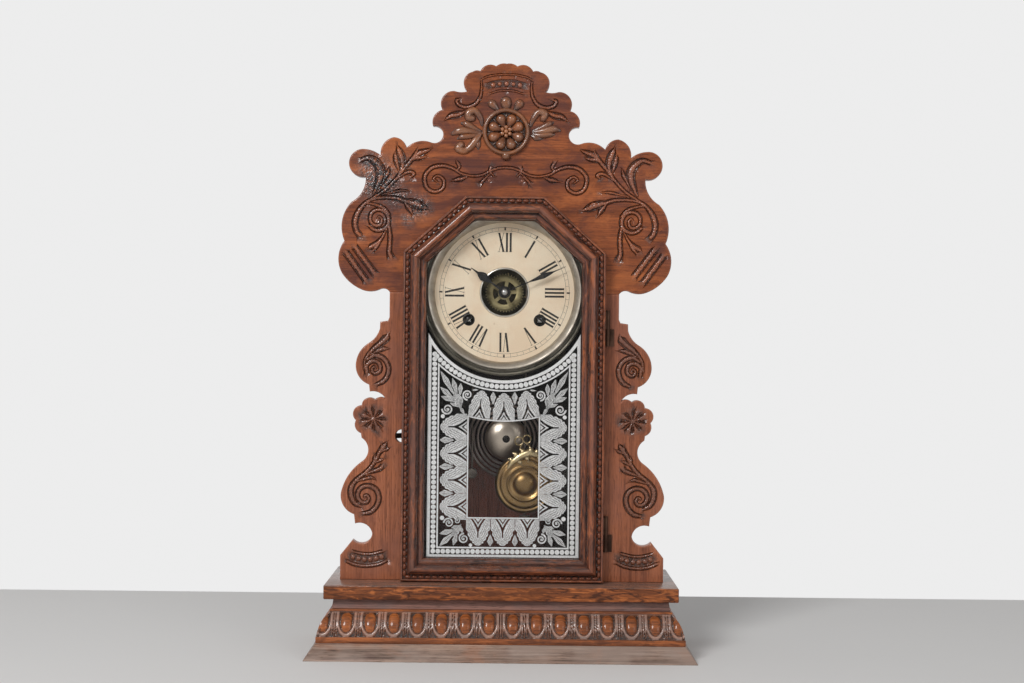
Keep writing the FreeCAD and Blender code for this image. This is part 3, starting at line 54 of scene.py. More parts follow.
CAMERA_PLACE = (0.0079, -1.4157, 0.3054)
CAMERA_ROLL = 0.0105
LENS, SENSOR, CLIP_END = 50.0, 36.0, 20.0

lens = bpy.data.cameras.new("view_camera")
lens.lens = LENS
lens.sensor_width = SENSOR
lens.clip_end = CLIP_END
camera = bpy.data.objects.new("view_camera", lens)
camera.matrix_world = (Matrix.Translation(CAMERA_PLACE) @ Matrix.Rotation(math.pi / 2, 4, "X")
                       @ Matrix.Rotation(CAMERA_ROLL, 4, "Z"))
bpy.context.scene.collection.objects.link(camera)
bpy.context.scene.camera = camera
bpy.context.scene.view_settings.view_transform = "Standard"


# ---------------------------------------------------------------- shader maths

FLAT = (0.0, 0.0, 0.0)
UPRIGHT = (0.0, math.pi / 2, 0.0)
DEEP = (0.0, 0.0, math.pi / 2)


class Value:
    """A shader socket that takes part in sums."""

    def __init__(self, finish, socket):
        self.finish = finish
        self.socket = socket

    def math(self, operation, *others):
        links = {0: self}
        for place, other in enumerate(others):
            links[place + 1] = other
        return self.finish.add("Math", {"operation": operation}, links)

    def __add__(self, other):
        return self.math("ADD", other)

    def __sub__(self, other):
        return self.math("SUBTRACT", other)

    def __rsub__(self, other):
        return self.finish.add("Math", {"operation": "SUBTRACT"}, {0: other, 1: self})

    def __mul__(self, other):
        return self.math("MULTIPLY", other)

    __radd__ = __add__
    __rmul__ = __mul__

    def ramp(self, low, high, start=0.0, end=1.0):
        """Eases from start to end while the value goes from low to high."""
        return self.finish.add("MapRange", {"interpolation_type": "SMOOTHSTEP"},
                               {0: self, 1: low, 2: high, 3: start, 4: end})


class Finish:
    """A material under way: adds nodes, wraps their sockets and ends in one shader."""

    def __init__(self, name):
        self.material = bpy.data.materials.new(name)
        self.material.use_nodes = True
        self.tree = self.material.node_tree
        self.tree.nodes.clear()
        self.end = self.tree.nodes.new("ShaderNodeOutputMaterial")

    def add(self, kind, settings=None, links=None, out=0):
        node = self.tree.nodes.new("ShaderNode" + kind)
        for key, value in (settings or {}).items():
            if key == "stops":
                points = node.color_ramp.elements
                while len(points) < len(value):
                    points.new(0.5)
                for point, (place, colour) in zip(points, value):
                    point.position = place
                    point.color = (*colour, 1.0)
            else:
                setattr(node, key, value)
        for key, value in (links or {}).items():
            if isinstance(value, Value):
                self.tree.links.new(value.socket, node.inputs[key])
            elif isinstance(value, tuple) and len(value) == 3 and node.inputs[key].type == "RGBA":
                node.inputs[key].default_value = (*value, 1.0)
            else:
                node.inputs[key].default_value = value
        return Value(self, node.outputs[out])

    def noise(self, sizes, detail=3.0, rough=0.55, bend=0.0, turn=FLAT, start=FLAT, source="Object"):
        """Noise with features of the given size or sizes, turned first."""
        sizes = sizes if isinstance(sizes, tuple) else (sizes,) * 3
        where = self.add("Mapping", {"vector_type": "TEXTURE"},
                         {"Vector": self.add("TexCoord", out=source), "Location": start, "Rotation": turn,
                          "Scale": sizes})
        return self.add("TexNoise", None, {"Vector": where, "Scale": 1.0, "Detail": detail,
                                           "Roughness": rough, "Distortion": bend})

    def attribute(self, name):
        return self.add("Attribute", {"attribute_name": name}, out="Fac")

    def mix(self, share, first, second):
        return self.add("Mix", {"data_type": "RGBA"}, {0: share, 6: first, 7: second}, 2)

    def bump(self, height, strength, distance):
        return self.add("Bump", None, {"Strength": strength, "Distance": distance, "Height": height})

    def close(self, shader):
        self.tree.links.new(shader.socket, self.end.inputs["Surface"])
        return self.material

    def surface(self, **values):
        return self.close(self.add("BsdfPrincipled", None,
                                   {key.replace("_", " "): value for key, value in values.items()}))


def darker(colour, share):
    return tuple(part * share for part in colour)


# Soot and painted shade: the colour of carved hollows.
SOOT_AND_SHADE = (0.012, 0.0065, 0.0045)
TAR = (0.008, 0.008, 0.009)
BARE_GREY = (0.37, 0.285, 0.24)
STAIN_RED, STAIN_GLOW = (0.064, 0.021, 0.020), (0.48, 0.142, 0.040)
CASE_SHADOW = (0.036, 0.032, 0.030)
# Brightest colour for worn high faces, which also stand for painted highlight.
WORN_LIT_MOST = 0.8
# Noise of the wood: feature sizes in metres along and across the grain, detail, roughness, bend.
GRAIN = (((0.36, 0.012, 0.012), 4.0, 0.6, 0.6), ((0.085, 0.0019, 0.0019), 3.0, 0.6),
         ((0.030, 0.0008, 0.0008), 2.0, 0.6), ((0.011, 0.0006, 0.0006), 2.0, 0.6),
         ((0.07, 0.045, 0.045), 3.0, 0.6), (0.0024, 2.0, 0.6))
FLAME_GRAIN = ((0.020, 0.0045, 0.0045), 3.0, 0.6, 1.2)
BLOTCH_GRAIN = ((0.050, 0.030, 0.030), 5.0, 0.62, 0.5)


def oak(name, light, middle, dark, turn=FLAT, source="Object", gloss=0.5, grime=0.5, worn=0.0, start=FLAT,
        worn_and_lit=None, recess_colour=SOOT_AND_SHADE, bloom=None, spread=0.12, flame=0.0, shade=None, blotch=0.0):
    """Stained, shellacked oak, its grain along X before the turn; carvings carry hollows darkened as
    painted shade and dirt, high faces lightened for wear and as painted highlight, and grime.
    """
    it = Finish(name)

    def grain(row):
        return it.noise(*row, turn=turn, start=start, source=source)

    bands, streaks, lines, pores, clouds, specks = map(grain, GRAIN)
    figure = bands * 0.44 + streaks * 0.34 + lines * 0.22
    stops = ((0.5 - spread, dark), (0.50, middle), (0.5 + spread, light))
    colour = it.add("ValToRGB", {"stops": stops}, {0: figure})
    if flame:
        tongues = grain(FLAME_GRAIN)
        colour = it.mix(tongues.ramp(0.50, 0.62) * flame, colour, darker(dark, 0.7))
        colour = it.mix(tongues.ramp(0.46, 0.36) * flame, colour, light)
    pore_share = pores.ramp(0.55, 0.68) * 0.60
    colour = it.mix(pore_share, colour, darker(dark, 0.35))
    colour = it.mix(clouds.ramp(0.44, 0.68) * 0.55, colour, bloom or darker(middle, 0.55))
    if blotch:
        patches = grain(BLOTCH_GRAIN)
        colour = it.mix(patches.ramp(0.50, 0.64) * blotch, colour, STAIN_RED)
        colour = it.mix(patches.ramp(0.48, 0.36) * blotch * 0.7, colour, STAIN_GLOW)
    recess, rub, dirt = map(it.attribute, ("recess", "rub", "grime"))
    # High faces and eased edges are lightened for wear and as painted highlight; hollows are darkened as
    # soil and painted shade, the more so as grime grows.
    worn_lit_colour = worn_and_lit or tuple(min(part * 1.35, WORN_LIT_MOST) for part in light)
    colour = it.mix(rub * (0.25 + streaks * 0.35), colour, worn_lit_colour)
    colour = it.mix(recess * (specks.ramp(0.25, 0.75) * 0.4 + 0.55) * (0.62 + grime * 0.5), colour, recess_colour)
    colour = it.mix(dirt * specks.ramp(0.36, 0.58), colour, TAR)
    if worn:
        thin = clouds.ramp(0.40, 0.60) * worn + streaks.ramp(0.50, 0.66) * worn * 0.5
        colour = it.mix(thin, colour, BARE_GREY)
    if shade:
        middle_spot, near, far, depth = shade
        where = it.add("TexCoord", out="Object")
        flat = it.add("VectorMath", {"operation": "MULTIPLY"}, {0: where, 1: (1.0, 0.0, 1.0)})
        away = it.add("VectorMath", {"operation": "DISTANCE"}, {0: flat, 1: middle_spot}, "Value")
        inside = it.add("SeparateXYZ", None, {0: where}, "Y").ramp(depth + 0.002, depth + 0.0008)
        colour = it.mix(away.ramp(near, far) * inside, colour, CASE_SHADOW)
    shine = (recess + rub + dirt).ramp(0.05, 0.75)
    rough = clouds.ramp(0.3, 0.7, 0.36, 0.50) + pore_share * 0.2 - shine * 0.16 - dirt * 0.10
    height = (streaks * 0.30 - pore_share * 0.8 + clouds * 0.5 + lines * 0.2
              + (shine * 2.2 + dirt * 3.0 + blotch * 0.5) * specks)
    return it.surface(Base_Color=colour, Roughness=rough,
                      Specular_IOR_Level=shine * 0.35 + dirt * 0.4 + 0.18, Coat_Weight=gloss,
                      Coat_Roughness=0.12, Normal=it.bump(height, 0.36, 0.0005))


def metal(name, bright, dull, rough=0.3, tarnish=0.5, grain=0.0006, spots=0.02):
    """Turned or drawn metal with tarnish clouds, fine lines and dark specks."""
    it = Finish(name)
    clouds = it.noise(spots, 4.0, 0.6)
    fine = it.noise((grain * 6, grain, grain), 2.0, 0.6)
    colour = it.mix(clouds.ramp(0.38, 0.68) * tarnish, bright, dull)
    colour = it.mix(fine.ramp(0.58, 0.75) * 0.3, colour, darker(dull, 0.45))
    roughness = clouds.ramp(0.3, 0.7, rough * 0.8, rough * 1.5) + fine * 0.06
    return it.surface(Base_Color=colour, Metallic=1.0, Roughness=roughness,
                      Normal=it.bump(fine + clouds, 0.12, 0.0002))


OAK_LIGHT = (0.38, 0.110, 0.036)
OAK_MIDDLE = (0.225, 0.060, 0.020)
OAK_DARK = (0.082, 0.021, 0.008)
# Grey for the shelf's top face, as dust and painted reflection; then pale for the frieze's worn frames,
# which also carry painted highlight; then near black for the frieze's grooves, as soil and painted shade.
DUST_AND_SHEEN = (0.235, 0.200, 0.180)
PALE = (0.38, 0.34, 0.315)
EGG_SOIL_AND_SHADE = (0.018, 0.016, 0.015)
BASE_TONES = ((0.46, 0.140, 0.038), (0.28, 0.080, 0.023), (0.080, 0.024, 0.010))

head_oak = oak("head_oak", OAK_LIGHT, OAK_MIDDLE, OAK_DARK, FLAT, gloss=0.35, spread=0.17,
               bloom=(0.120, 0.044, 0.036), blotch=0.6)
wing_oak = oak("wing_oak", (0.40, 0.140, 0.068), (0.28, 0.092, 0.043), (0.150, 0.045, 0.020), UPRIGHT,
               gloss=0.25, start=(0.1, 0.02, 0.0), bloom=(0.22, 0.082, 0.054), grime=0.7, blotch=0.18)
crest_oak = oak("crest_oak", (0.34, 0.120, 0.042), (0.165, 0.052, 0.020), (0.040, 0.013, 0.007), FLAT,
                gloss=0.9, grime=0.9, start=(0.3, 0.0, 0.1), spread=0.2, worn_and_lit=(0.44, 0.185, 0.072),
                blotch=0.5)
# Near black where the door is darkened: in its grooves that stands for painted shade and dirt.
door_oak = oak("door_oak", (0.34, 0.098, 0.034), (0.150, 0.044, 0.021), (0.045, 0.015, 0.010), FLAT, "UV",
               gloss=0.3, flame=1.0, bloom=(0.12, 0.055, 0.048), recess_colour=(0.024, 0.021, 0.020))
# Its recess colour greys the shelf's top face, as dust and painted reflection.
base_oak = oak("base_oak", *BASE_TONES, FLAT, gloss=0.25, start=(0.0, 0.1, 0.05), flame=0.9, recess_colour=DUST_AND_SHEEN)
base_side_oak = oak("base_side_oak", *BASE_TONES, DEEP, gloss=0.4, worn_and_lit=PALE, recess_colour=EGG_SOIL_AND_SHADE, grime=0.9)
neck_oak = oak("neck_oak", (0.33, 0.170, 0.130), (0.23, 0.116, 0.092), (0.09, 0.050, 0.044), FLAT,
               gloss=0.2, bloom=(0.19, 0.135, 0.125))
frieze_oak = oak("frieze_oak", *BASE_TONES, FLAT, gloss=0.6, start=(0.0, 0.1, 0.05), recess_colour=EGG_SOIL_AND_SHADE,
                 worn_and_lit=PALE, flame=0.4, grime=0.9)
worn_oak = oak("worn_oak", (0.38, 0.255, 0.190), (0.25, 0.165, 0.125), (0.085, 0.054, 0.042), FLAT,
               gloss=0.05, worn=0.5, blotch=0.25)
case_oak = oak("case_oak", (0.16, 0.062, 0.038), (0.092, 0.036, 0.026), (0.04, 0.017, 0.014), UPRIGHT,
               gloss=0.15)
inner_oak = oak("inner_oak", (0.22, 0.098, 0.076), (0.155, 0.066, 0.052), (0.095, 0.040, 0.033), UPRIGHT,
                gloss=0.1)
back_oak = oak("back_oak", (0.30, 0.105, 0.070), (0.22, 0.075, 0.052), (0.13, 0.045, 0.034), UPRIGHT,
               gloss=0.1, shade=((-0.012, 0.0, 0.138), 0.020, 0.085, 0.0609))
brass = metal("brass_finish", (0.56, 0.42, 0.20), (0.24, 0.165, 0.07), 0.34, 0.6)
# Nearly black brass for the plates, posts and minute wheel: tarnish, and painted shade, as they sit in
# shadow behind the dial.
plate_brass = metal("plate_finish", (0.11, 0.095, 0.065), (0.045, 0.04, 0.032), 0.45, 0.7)
wheel_brass = metal("wheel_finish", (0.46, 0.39, 0.21), (0.22, 0.18, 0.10), 0.42, 0.7, spots=0.008)
bob_brass = metal("bob_brass_finish", (0.37, 0.235, 0.100), (0.165, 0.100, 0.045), 0.24, 0.7, spots=0.05)
gilt = metal("gilt_finish", (0.74, 0.60, 0.36), (0.42, 0.30, 0.14), 0.26, 0.6, spots=0.006)
nickel = metal("nickel_finish", (0.55, 0.50, 0.43), (0.30, 0.26, 0.21), 0.38, 0.6)
ring_nickel = metal("ring_nickel_finish", (0.80, 0.77, 0.71), (0.52, 0.49, 0.44), 0.25, 0.5)
dome_nickel = metal("dome_finish", (0.72, 0.63, 0.53), (0.44, 0.36, 0.29), 0.27, 0.4, spots=0.05)
steel = metal("steel_finish", (0.55, 0.55, 0.55), (0.24, 0.23, 0.22), 0.30, 0.5)
dull_steel = metal("dull_steel_finish", (0.20, 0.17, 0.145), (0.09, 0.075, 0.065), 0.38, 0.6)
tin = metal("tin_finish", (0.20, 0.185, 0.15), (0.10, 0.09, 0.07), 0.42, 0.6)
iron = metal("iron_finish", (0.055, 0.052, 0.05), (0.025, 0.022, 0.02), 0.45, 0.6)
# Dark brown metal for the hinges: painted shade, so that they stay lost in the door's shadow.
hinge_brown = metal("hinge_finish", (0.115, 0.062, 0.042), (0.055, 0.032, 0.025), 0.5, 0.7)
gong_steel = metal("gong_steel_finish", (0.26, 0.215, 0.195), (0.12, 0.095, 0.085), 0.32, 0.6)


def make_hand_black():
    it = Finish("hand_black_finish")
    clouds = it.noise(0.004, 3.0)
    colour = it.mix(clouds.ramp(0.5, 0.75), (0.012, 0.012, 0.013), (0.055, 0.046, 0.038))
    return it.surface(Base_Color=colour, Roughness=clouds.ramp(0.3, 0.7, 0.32, 0.5), Metallic=0.3)


def make_dial_paper():
    """Cream paper, browned in clouds, with foxing spots and a dusty rim."""
    it = Finish("dial_paper_finish")
    clouds = it.noise(0.035, 4.0, 0.6)
    fibre = it.noise(0.0012, 2.0, 0.7)
    spots = it.noise(0.006, 3.0, 0.65)
    rays = it.noise((0.004, 0.05, 0.02), 2.0)
    colour = it.mix(clouds.ramp(0.35, 0.68), (0.86, 0.735, 0.56), (0.81, 0.64, 0.46))
    colour = it.mix(spots.ramp(0.64, 0.76) * 0.45, colour, (0.50, 0.34, 0.20))
    colour = it.mix(rays.ramp(0.55, 0.75) * 0.18, colour, (0.72, 0.48, 0.32))
    colour = it.mix(fibre * 0.10, colour, (0.62, 0.48, 0.33))
    return it.surface(Base_Color=colour, Roughness=fibre.ramp(0.2, 0.8, 0.62, 0.8),
                      Normal=it.bump(fibre, 0.12, 0.0002))


def make_print_ink():
    it = Finish("print_ink")
    fade = it.noise(0.003, 3.0, 0.65)
    colour = it.mix(fade.ramp(0.55, 0.78), (0.018, 0.016, 0.014), (0.17, 0.125, 0.085))
    return it.surface(Base_Color=colour, Roughness=fade.ramp(0.2, 0.8, 0.5, 0.7))


def make_stencil_silver(name, bright, dull, thin):
    """Silver paint on the glass, a little cloudy and rubbed."""
    it = Finish(name)
    clouds = it.noise(0.02, 3.0)
    fine = it.noise(0.0009, 2.0, 0.7)
    colour = it.mix(clouds.ramp(0.35, 0.7), (bright,) * 3, (dull,) * 3)
    colour = it.mix(fine.ramp(0.46, 0.62) * 0.6, colour, (thin,) * 3)
    return it.surface(Base_Color=colour, Roughness=clouds.ramp(0.3, 0.7, 0.45, 0.6))


def make_pane():
    """Old window glass: clear, with a reflection that grows towards the edge of sight."""
    it = Finish("pane_glass")
    ripple = it.noise(0.05, 2.0)
    clear = it.add("BsdfTransparent", None, {"Color": (0.985, 0.985, 0.982)})
    gleam = it.add("BsdfGlossy", None, {"Color": (1.0, 1.0, 1.0), "Roughness": 0.03,
                                        "Normal": it.bump(ripple, 0.05, 0.002)})
    share = it.add("Fresnel", None, {"IOR": 1.45})
    both = it.add("MixShader", None, {0: share * 0.32, 1: clear, 2: gleam})
    return it.close(both)


hand_black = make_hand_black()
dial_paper = make_dial_paper()
print_ink = make_print_ink()
stencil_silver = make_stencil_silver("stencil_silver", 0.84, 0.74, 0.58)
figure_silver = make_stencil_silver("figure_silver", 0.78, 0.66, 0.22)
pane_glass = make_pane()


# ---------------------------------------------------------------- pieces and meshes

def piece(name, mesh, finish, body, slot, *nodes):
    """Links a finished mesh, sets its finish, the body it rides on and the nodes it stands for."""
    if finish is not None:
        mesh.materials.clear()
        mesh.materials.append(finish)
    made = bpy.data.objects.new(name, mesh)
    bpy.context.scene.collection.objects.link(made)
    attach(made, body)
    if nodes:
        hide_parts(*nodes)
    return made


# Distances within which points are joined, in millimetres.
NODE_WELD, WELD, FINE_WELD, TIGHT_WELD = 1e-3, 1e-4, 1e-5, 1e-7


def ease(work, sharp_degrees):
    """Smooth faces, with edges steeper than the given angle kept sharp."""
    limit = math.radians(sharp_degrees)
    work.normal_update()
    for face in work.faces:
        face.smooth = True
    for edge in work.edges:
        edge.smooth = len(edge.link_faces) == 2 and edge.calc_face_angle(0.0) < limit


def closed_mesh(name, work, sharp_degrees, merge=WELD):
    """Turns a bmesh in millimetres into a mesh in metres."""
    bmesh.ops.remove_doubles(work, verts=work.verts, dist=merge)
    bmesh.ops.scale(work, vec=(MM, MM, MM), verts=work.verts)
    bmesh.ops.recalc_face_normals(work, faces=work.faces)
    ease(work, sharp_degrees)
    mesh = bpy.data.meshes.new(name)
    work.to_mesh(mesh)
    work.free()
    return mesh


def made_piece(name, work, sharp_degrees, finish, body, slot, *nodes, merge=WELD):
    """Closes a bmesh and links it as a piece."""
    return piece(name, closed_mesh(name, work, sharp_degrees, merge), finish, body, slot, *nodes)


def float_layers(work, *names):
    return [work.verts.layers.float.new(name) for name in names]


def node_work(node):
    """A merged copy of a node's mesh, in millimetres."""
    work = bmesh.new()
    work.from_mesh(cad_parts[node].data)
    bmesh.ops.scale(work, vec=(1 / MM, 1 / MM, 1 / MM), verts=work.verts)
    bmesh.ops.remove_doubles(work, verts=work.verts, dist=NODE_WELD)
    return work


def mm_box(node):
    low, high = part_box(node)
    return low / MM, high / MM


def mm_middle(low, high):
    """Middle of a box, seen from the front."""
    return (low.x + high.x) / 2, (low.z + high.z) / 2


def smooth_path(rows, gap):
    """Rows of place and half width, joined by a smooth line and divided at about the given gap."""
    rows = np.array(rows, float)
    if len(rows) > 2:
        ends = np.vstack([2 * rows[0] - rows[1], rows, 2 * rows[-1] - rows[-2]])
        share = np.linspace(0, 1, 9)[:-1, None]
        parts = []
        for before, start, finish, after in zip(ends, ends[1:], ends[2:], ends[3:]):
            parts.append(0.5 * (2 * start + (finish - before) * share
                                + (2 * before - 5 * start + 4 * finish - after) * share ** 2
                                + (3 * start - before - 3 * finish + after) * share ** 3))
        rows = np.vstack(parts + [rows[-1:]])
    run = np.concatenate([[0], np.cumsum(np.hypot(*np.diff(rows[:, :2], axis=0).T))])
    count = max(int(run[-1] / gap), 2) + 1
    spots = np.linspace(0, run[-1], count)
    return np.stack([np.interp(spots, run, rows[:, k]) for k in range(rows.shape[1])], axis=1)


def sides_of(path):
    """Unit vectors to the left of a path."""
    along = np.gradient(path[:, :2], axis=0)
    along /= np.maximum(np.hypot(*along.T), 1e-9)[:, None]
    return np.stack([-along[:, 1], along[:, 0]], axis=1)


def mirror_rows(rows):
    return [(-row[0],) + tuple(row[1:]) for row in rows]


# ---------------------------------------------------------------- carved boards

# Cross-section of a carved ribbon: share of the half width, share of the depth.
RIBBON_ACROSS = (0.00, 0.36, 0.64, 0.84, 1.02, 1.20, 1.45)
RIBBON_DEPTH = (0.06, -0.10, -0.66, -1.00, -0.96, -0.52, 0.00)
RIBBON_BODY = 0.64
TRAY_ACROSS = (0.0, 0.45, 0.86, 1.0)
TRAY_DEEP = 1.4
BEAD_ACROSS = (0.0, 0.35, 0.65, 0.88, 1.0, 1.35)
BEAD_DEEP, BEAD_RISE, BEAD_RIM = 1.5, 1.7, 0.35
RIBBON_REACH = 1.45
RIBBON_SWELL = 1.18
ROPE_PITCH, ROPE_CUT = 2.7, 0.22


def ribbon_depth(half_width):
    return np.clip(0.85 * half_width + 0.5, 0.9, 2.3)


def near_path(points, path):
    """Distance from each point to a path, the path's half width there and the way along it."""
    best = np.full(len(points), 1e9)
    width = np.ones(len(points))
    along = np.zeros(len(points))
    passed = 0.0
    for start, end in zip(path, path[1:]):
        run = end[:2] - start[:2]
        share = np.clip(((points - start[:2]) @ run) / max(run @ run, 1e-9), 0, 1)
        away = np.hypot(*(points - start[:2] - share[:, None] * run).T)
        closer = away < best
        best[closer] = away[closer]
        width[closer] = (start[2] + share * (end[2] - start[2]))[closer]
        along[closer] = (passed + share * np.hypot(*run))[closer]
        passed += np.hypot(*run)
    return best, np.maximum(width, 0.25), along


class Relief:
    """Carving of a board: ribbons with a ridge between two grooves, sunk trays and beads."""

    def __init__(self):
        self.ribbons = []
        self.trays = []
        self.beads = []

    def ribbon(self, rows, both=True):
        rows = [(x, z, RIBBON_SWELL * wide) for x, z, wide in rows]
        self.ribbons.append(smooth_path(rows, 0.9))
        if both:
            self.ribbons.append(smooth_path(mirror_rows(rows), 0.9))

    def tray(self, rows, both=True):
        self.trays.append(smooth_path(rows, 1.5))
        if both:
            self.trays.append(smooth_path(mirror_rows(rows), 1.5))

    def bead(self, x, z, radius, both=True):
        self.beads.append((x, z, radius))
        if both:
            self.beads.append((-x, z, radius))

    def points(self):
        """Mesh points that follow the carving."""
        spread = []
        for paths, shares in ((self.ribbons, RIBBON_ACROSS), (self.trays, TRAY_ACROSS)):
            for path in paths:
                aside = sides_of(path)
                for share in shares:
                    for hand in (1, -1) if share else (1,):
                        spread.append(path[:, :2] + hand * share * path[:, 2:3] * aside)
        for x, z, radius in self.beads:
            for share in BEAD_ACROSS:
                count = max(int(14 * share), 1)
                turn = np.arange(count) * 2 * math.pi / count
                spread.append(np.stack([x + share * radius * np.cos(turn),
                                        z + share * radius * np.sin(turn)], 1))
        return np.vstack(spread)

    def depth(self, points):
        """Height of the carved face at each point, below zero inside the wood."""
        floor = np.zeros(len(points))
        for path in self.trays:
            away, width, _ = near_path(points, path)
            sunk = np.interp(away / width, (0.0, 0.84, 1.0), (-TRAY_DEEP, -TRAY_DEEP, 0.0))
            floor = np.minimum(floor, sunk)
        groove = floor.copy()
        body = np.full(len(points), -9.0)
        for path in self.ribbons:
            reach = RIBBON_REACH * path[:, 2].max() + 0.5
            low = path[:, :2].min(0) - reach
            high = path[:, :2].max(0) + reach
            inside = np.flatnonzero(((points >= low) & (points <= high)).all(1))
            if not len(inside):
                continue
            away, width, along = near_path(points[inside], path)
            share = away / width
            level = np.interp(share, RIBBON_ACROSS, RIBBON_DEPTH) * ribbon_depth(width)
            ridge = share < RIBBON_BODY
            level = level - ridge * ROPE_CUT * (1 + np.sin(2 * math.pi * along / ROPE_PITCH))
            body[inside[ridge]] = np.maximum(body[inside[ridge]], level[ridge])
            groove[inside] = np.minimum(groove[inside], level)
        for x, z, radius in self.beads:
            share = np.hypot(points[:, 0] - x, points[:, 1] - z) / radius
            dome = share < 1.0
            body[dome] = np.maximum(body[dome], -BEAD_DEEP + BEAD_RISE * np.sqrt(1 - share[dome] ** 2))
            reach = BEAD_ACROSS[-1]
            around = (share >= 1.0) & (share < reach)
            groove[around] = np.minimum(groove[around], -BEAD_DEEP * (reach - share[around]) / BEAD_RIM)
        raised = body > -8.0
        return np.where(raised, np.maximum(body, floor - 0.6), groove), raised


def front_loops(node):
    """Closed outlines of a node's front face, in millimetres."""
    work = node_work(node)
    front = {face for face in work.faces if face.normal.y < -0.99}
    links = {}
    for edge in work.edges:
        if sum(face in front for face in edge.link_faces) == 1:
            first, second = edge.verts
            links.setdefault(first.index, []).append(second.index)
            links.setdefault(second.index, []).append(first.index)
    work.verts.ensure_lookup_table()
    loops = []
    while links:
        start = next(iter(links))
        chain = [start]
        step = links.pop(start)[0]
        while step != start:
            chain.append(step)
            step = next(place for place in links.pop(step) if place in links or place == start
                        and len(chain) > 2)
        loops.append(np.array([(work.verts[i].co.x, work.verts[i].co.z) for i in chain]))
    work.free()
    return loops


def within(points, loops):
    """Even-odd test of points against closed outlines."""
    odd = np.zeros(len(points), bool)
    for loop in loops:
        for (x0, z0), (x1, z1) in zip(loop, np.roll(loop, -1, axis=0)):
            if z0 == z1:
                continue
            level = (points[:, 1] > z0) != (points[:, 1] > z1)
            odd ^= level & (points[:, 0] < x0 + (points[:, 1] - z0) * (x1 - x0) / (z1 - z0))
    return odd


def to_outline(points, loops):
    """Distance from points to the nearest outline."""
    dense = np.vstack([smooth_edges(loop, 0.5) for loop in loops])
    tree = KDTree(len(dense))
    for place, (x, z) in enumerate(dense):
        tree.insert((x, z, 0.0), place)
    tree.balance()
    return np.array([tree.find((x, z, 0.0))[2] for x, z in points])


def smooth_edges(loop, gap):
    """A closed outline divided at about the given gap."""
    parts = []
    for start, end in zip(loop, np.roll(loop, -1, axis=0)):
        count = max(int(math.dist(start, end) / gap), 1)
        share = np.arange(count)[:, None] / count
        parts.append(start + share * (end - start))
    return np.vstack(parts)


def thinned(points, gap):
    """Drops points that fall in the same small square as an earlier one."""
    keep = {}
    for place, key in enumerate(map(tuple, np.round(points / gap).astype(int))):
        keep.setdefault(key, place)
    return points[sorted(keep.values())]


# Edge of a board: how far in it is eased, how much of a full round that is, rows of points along it.
EDGE_ROUND, EDGE_SHARE, RIM_ROWS = 1.5, 0.75, (0.45, 1.0, 1.5, 2.6)
FILL_GAP, OUTLINE_GAP, RIM_GAP, POINT_GAP, RIM_CLEAR = 6.0, 2.0, 1.6, 0.38, 0.35
# Slow waves of the planed face: height, lengths across and up, distance from the edge.
WAVE_HIGH, WAVE_ACROSS, WAVE_UP, WAVE_CLEAR = 0.12, 37.0, 29.0, 3.0
PROUD_MOST = 0.35


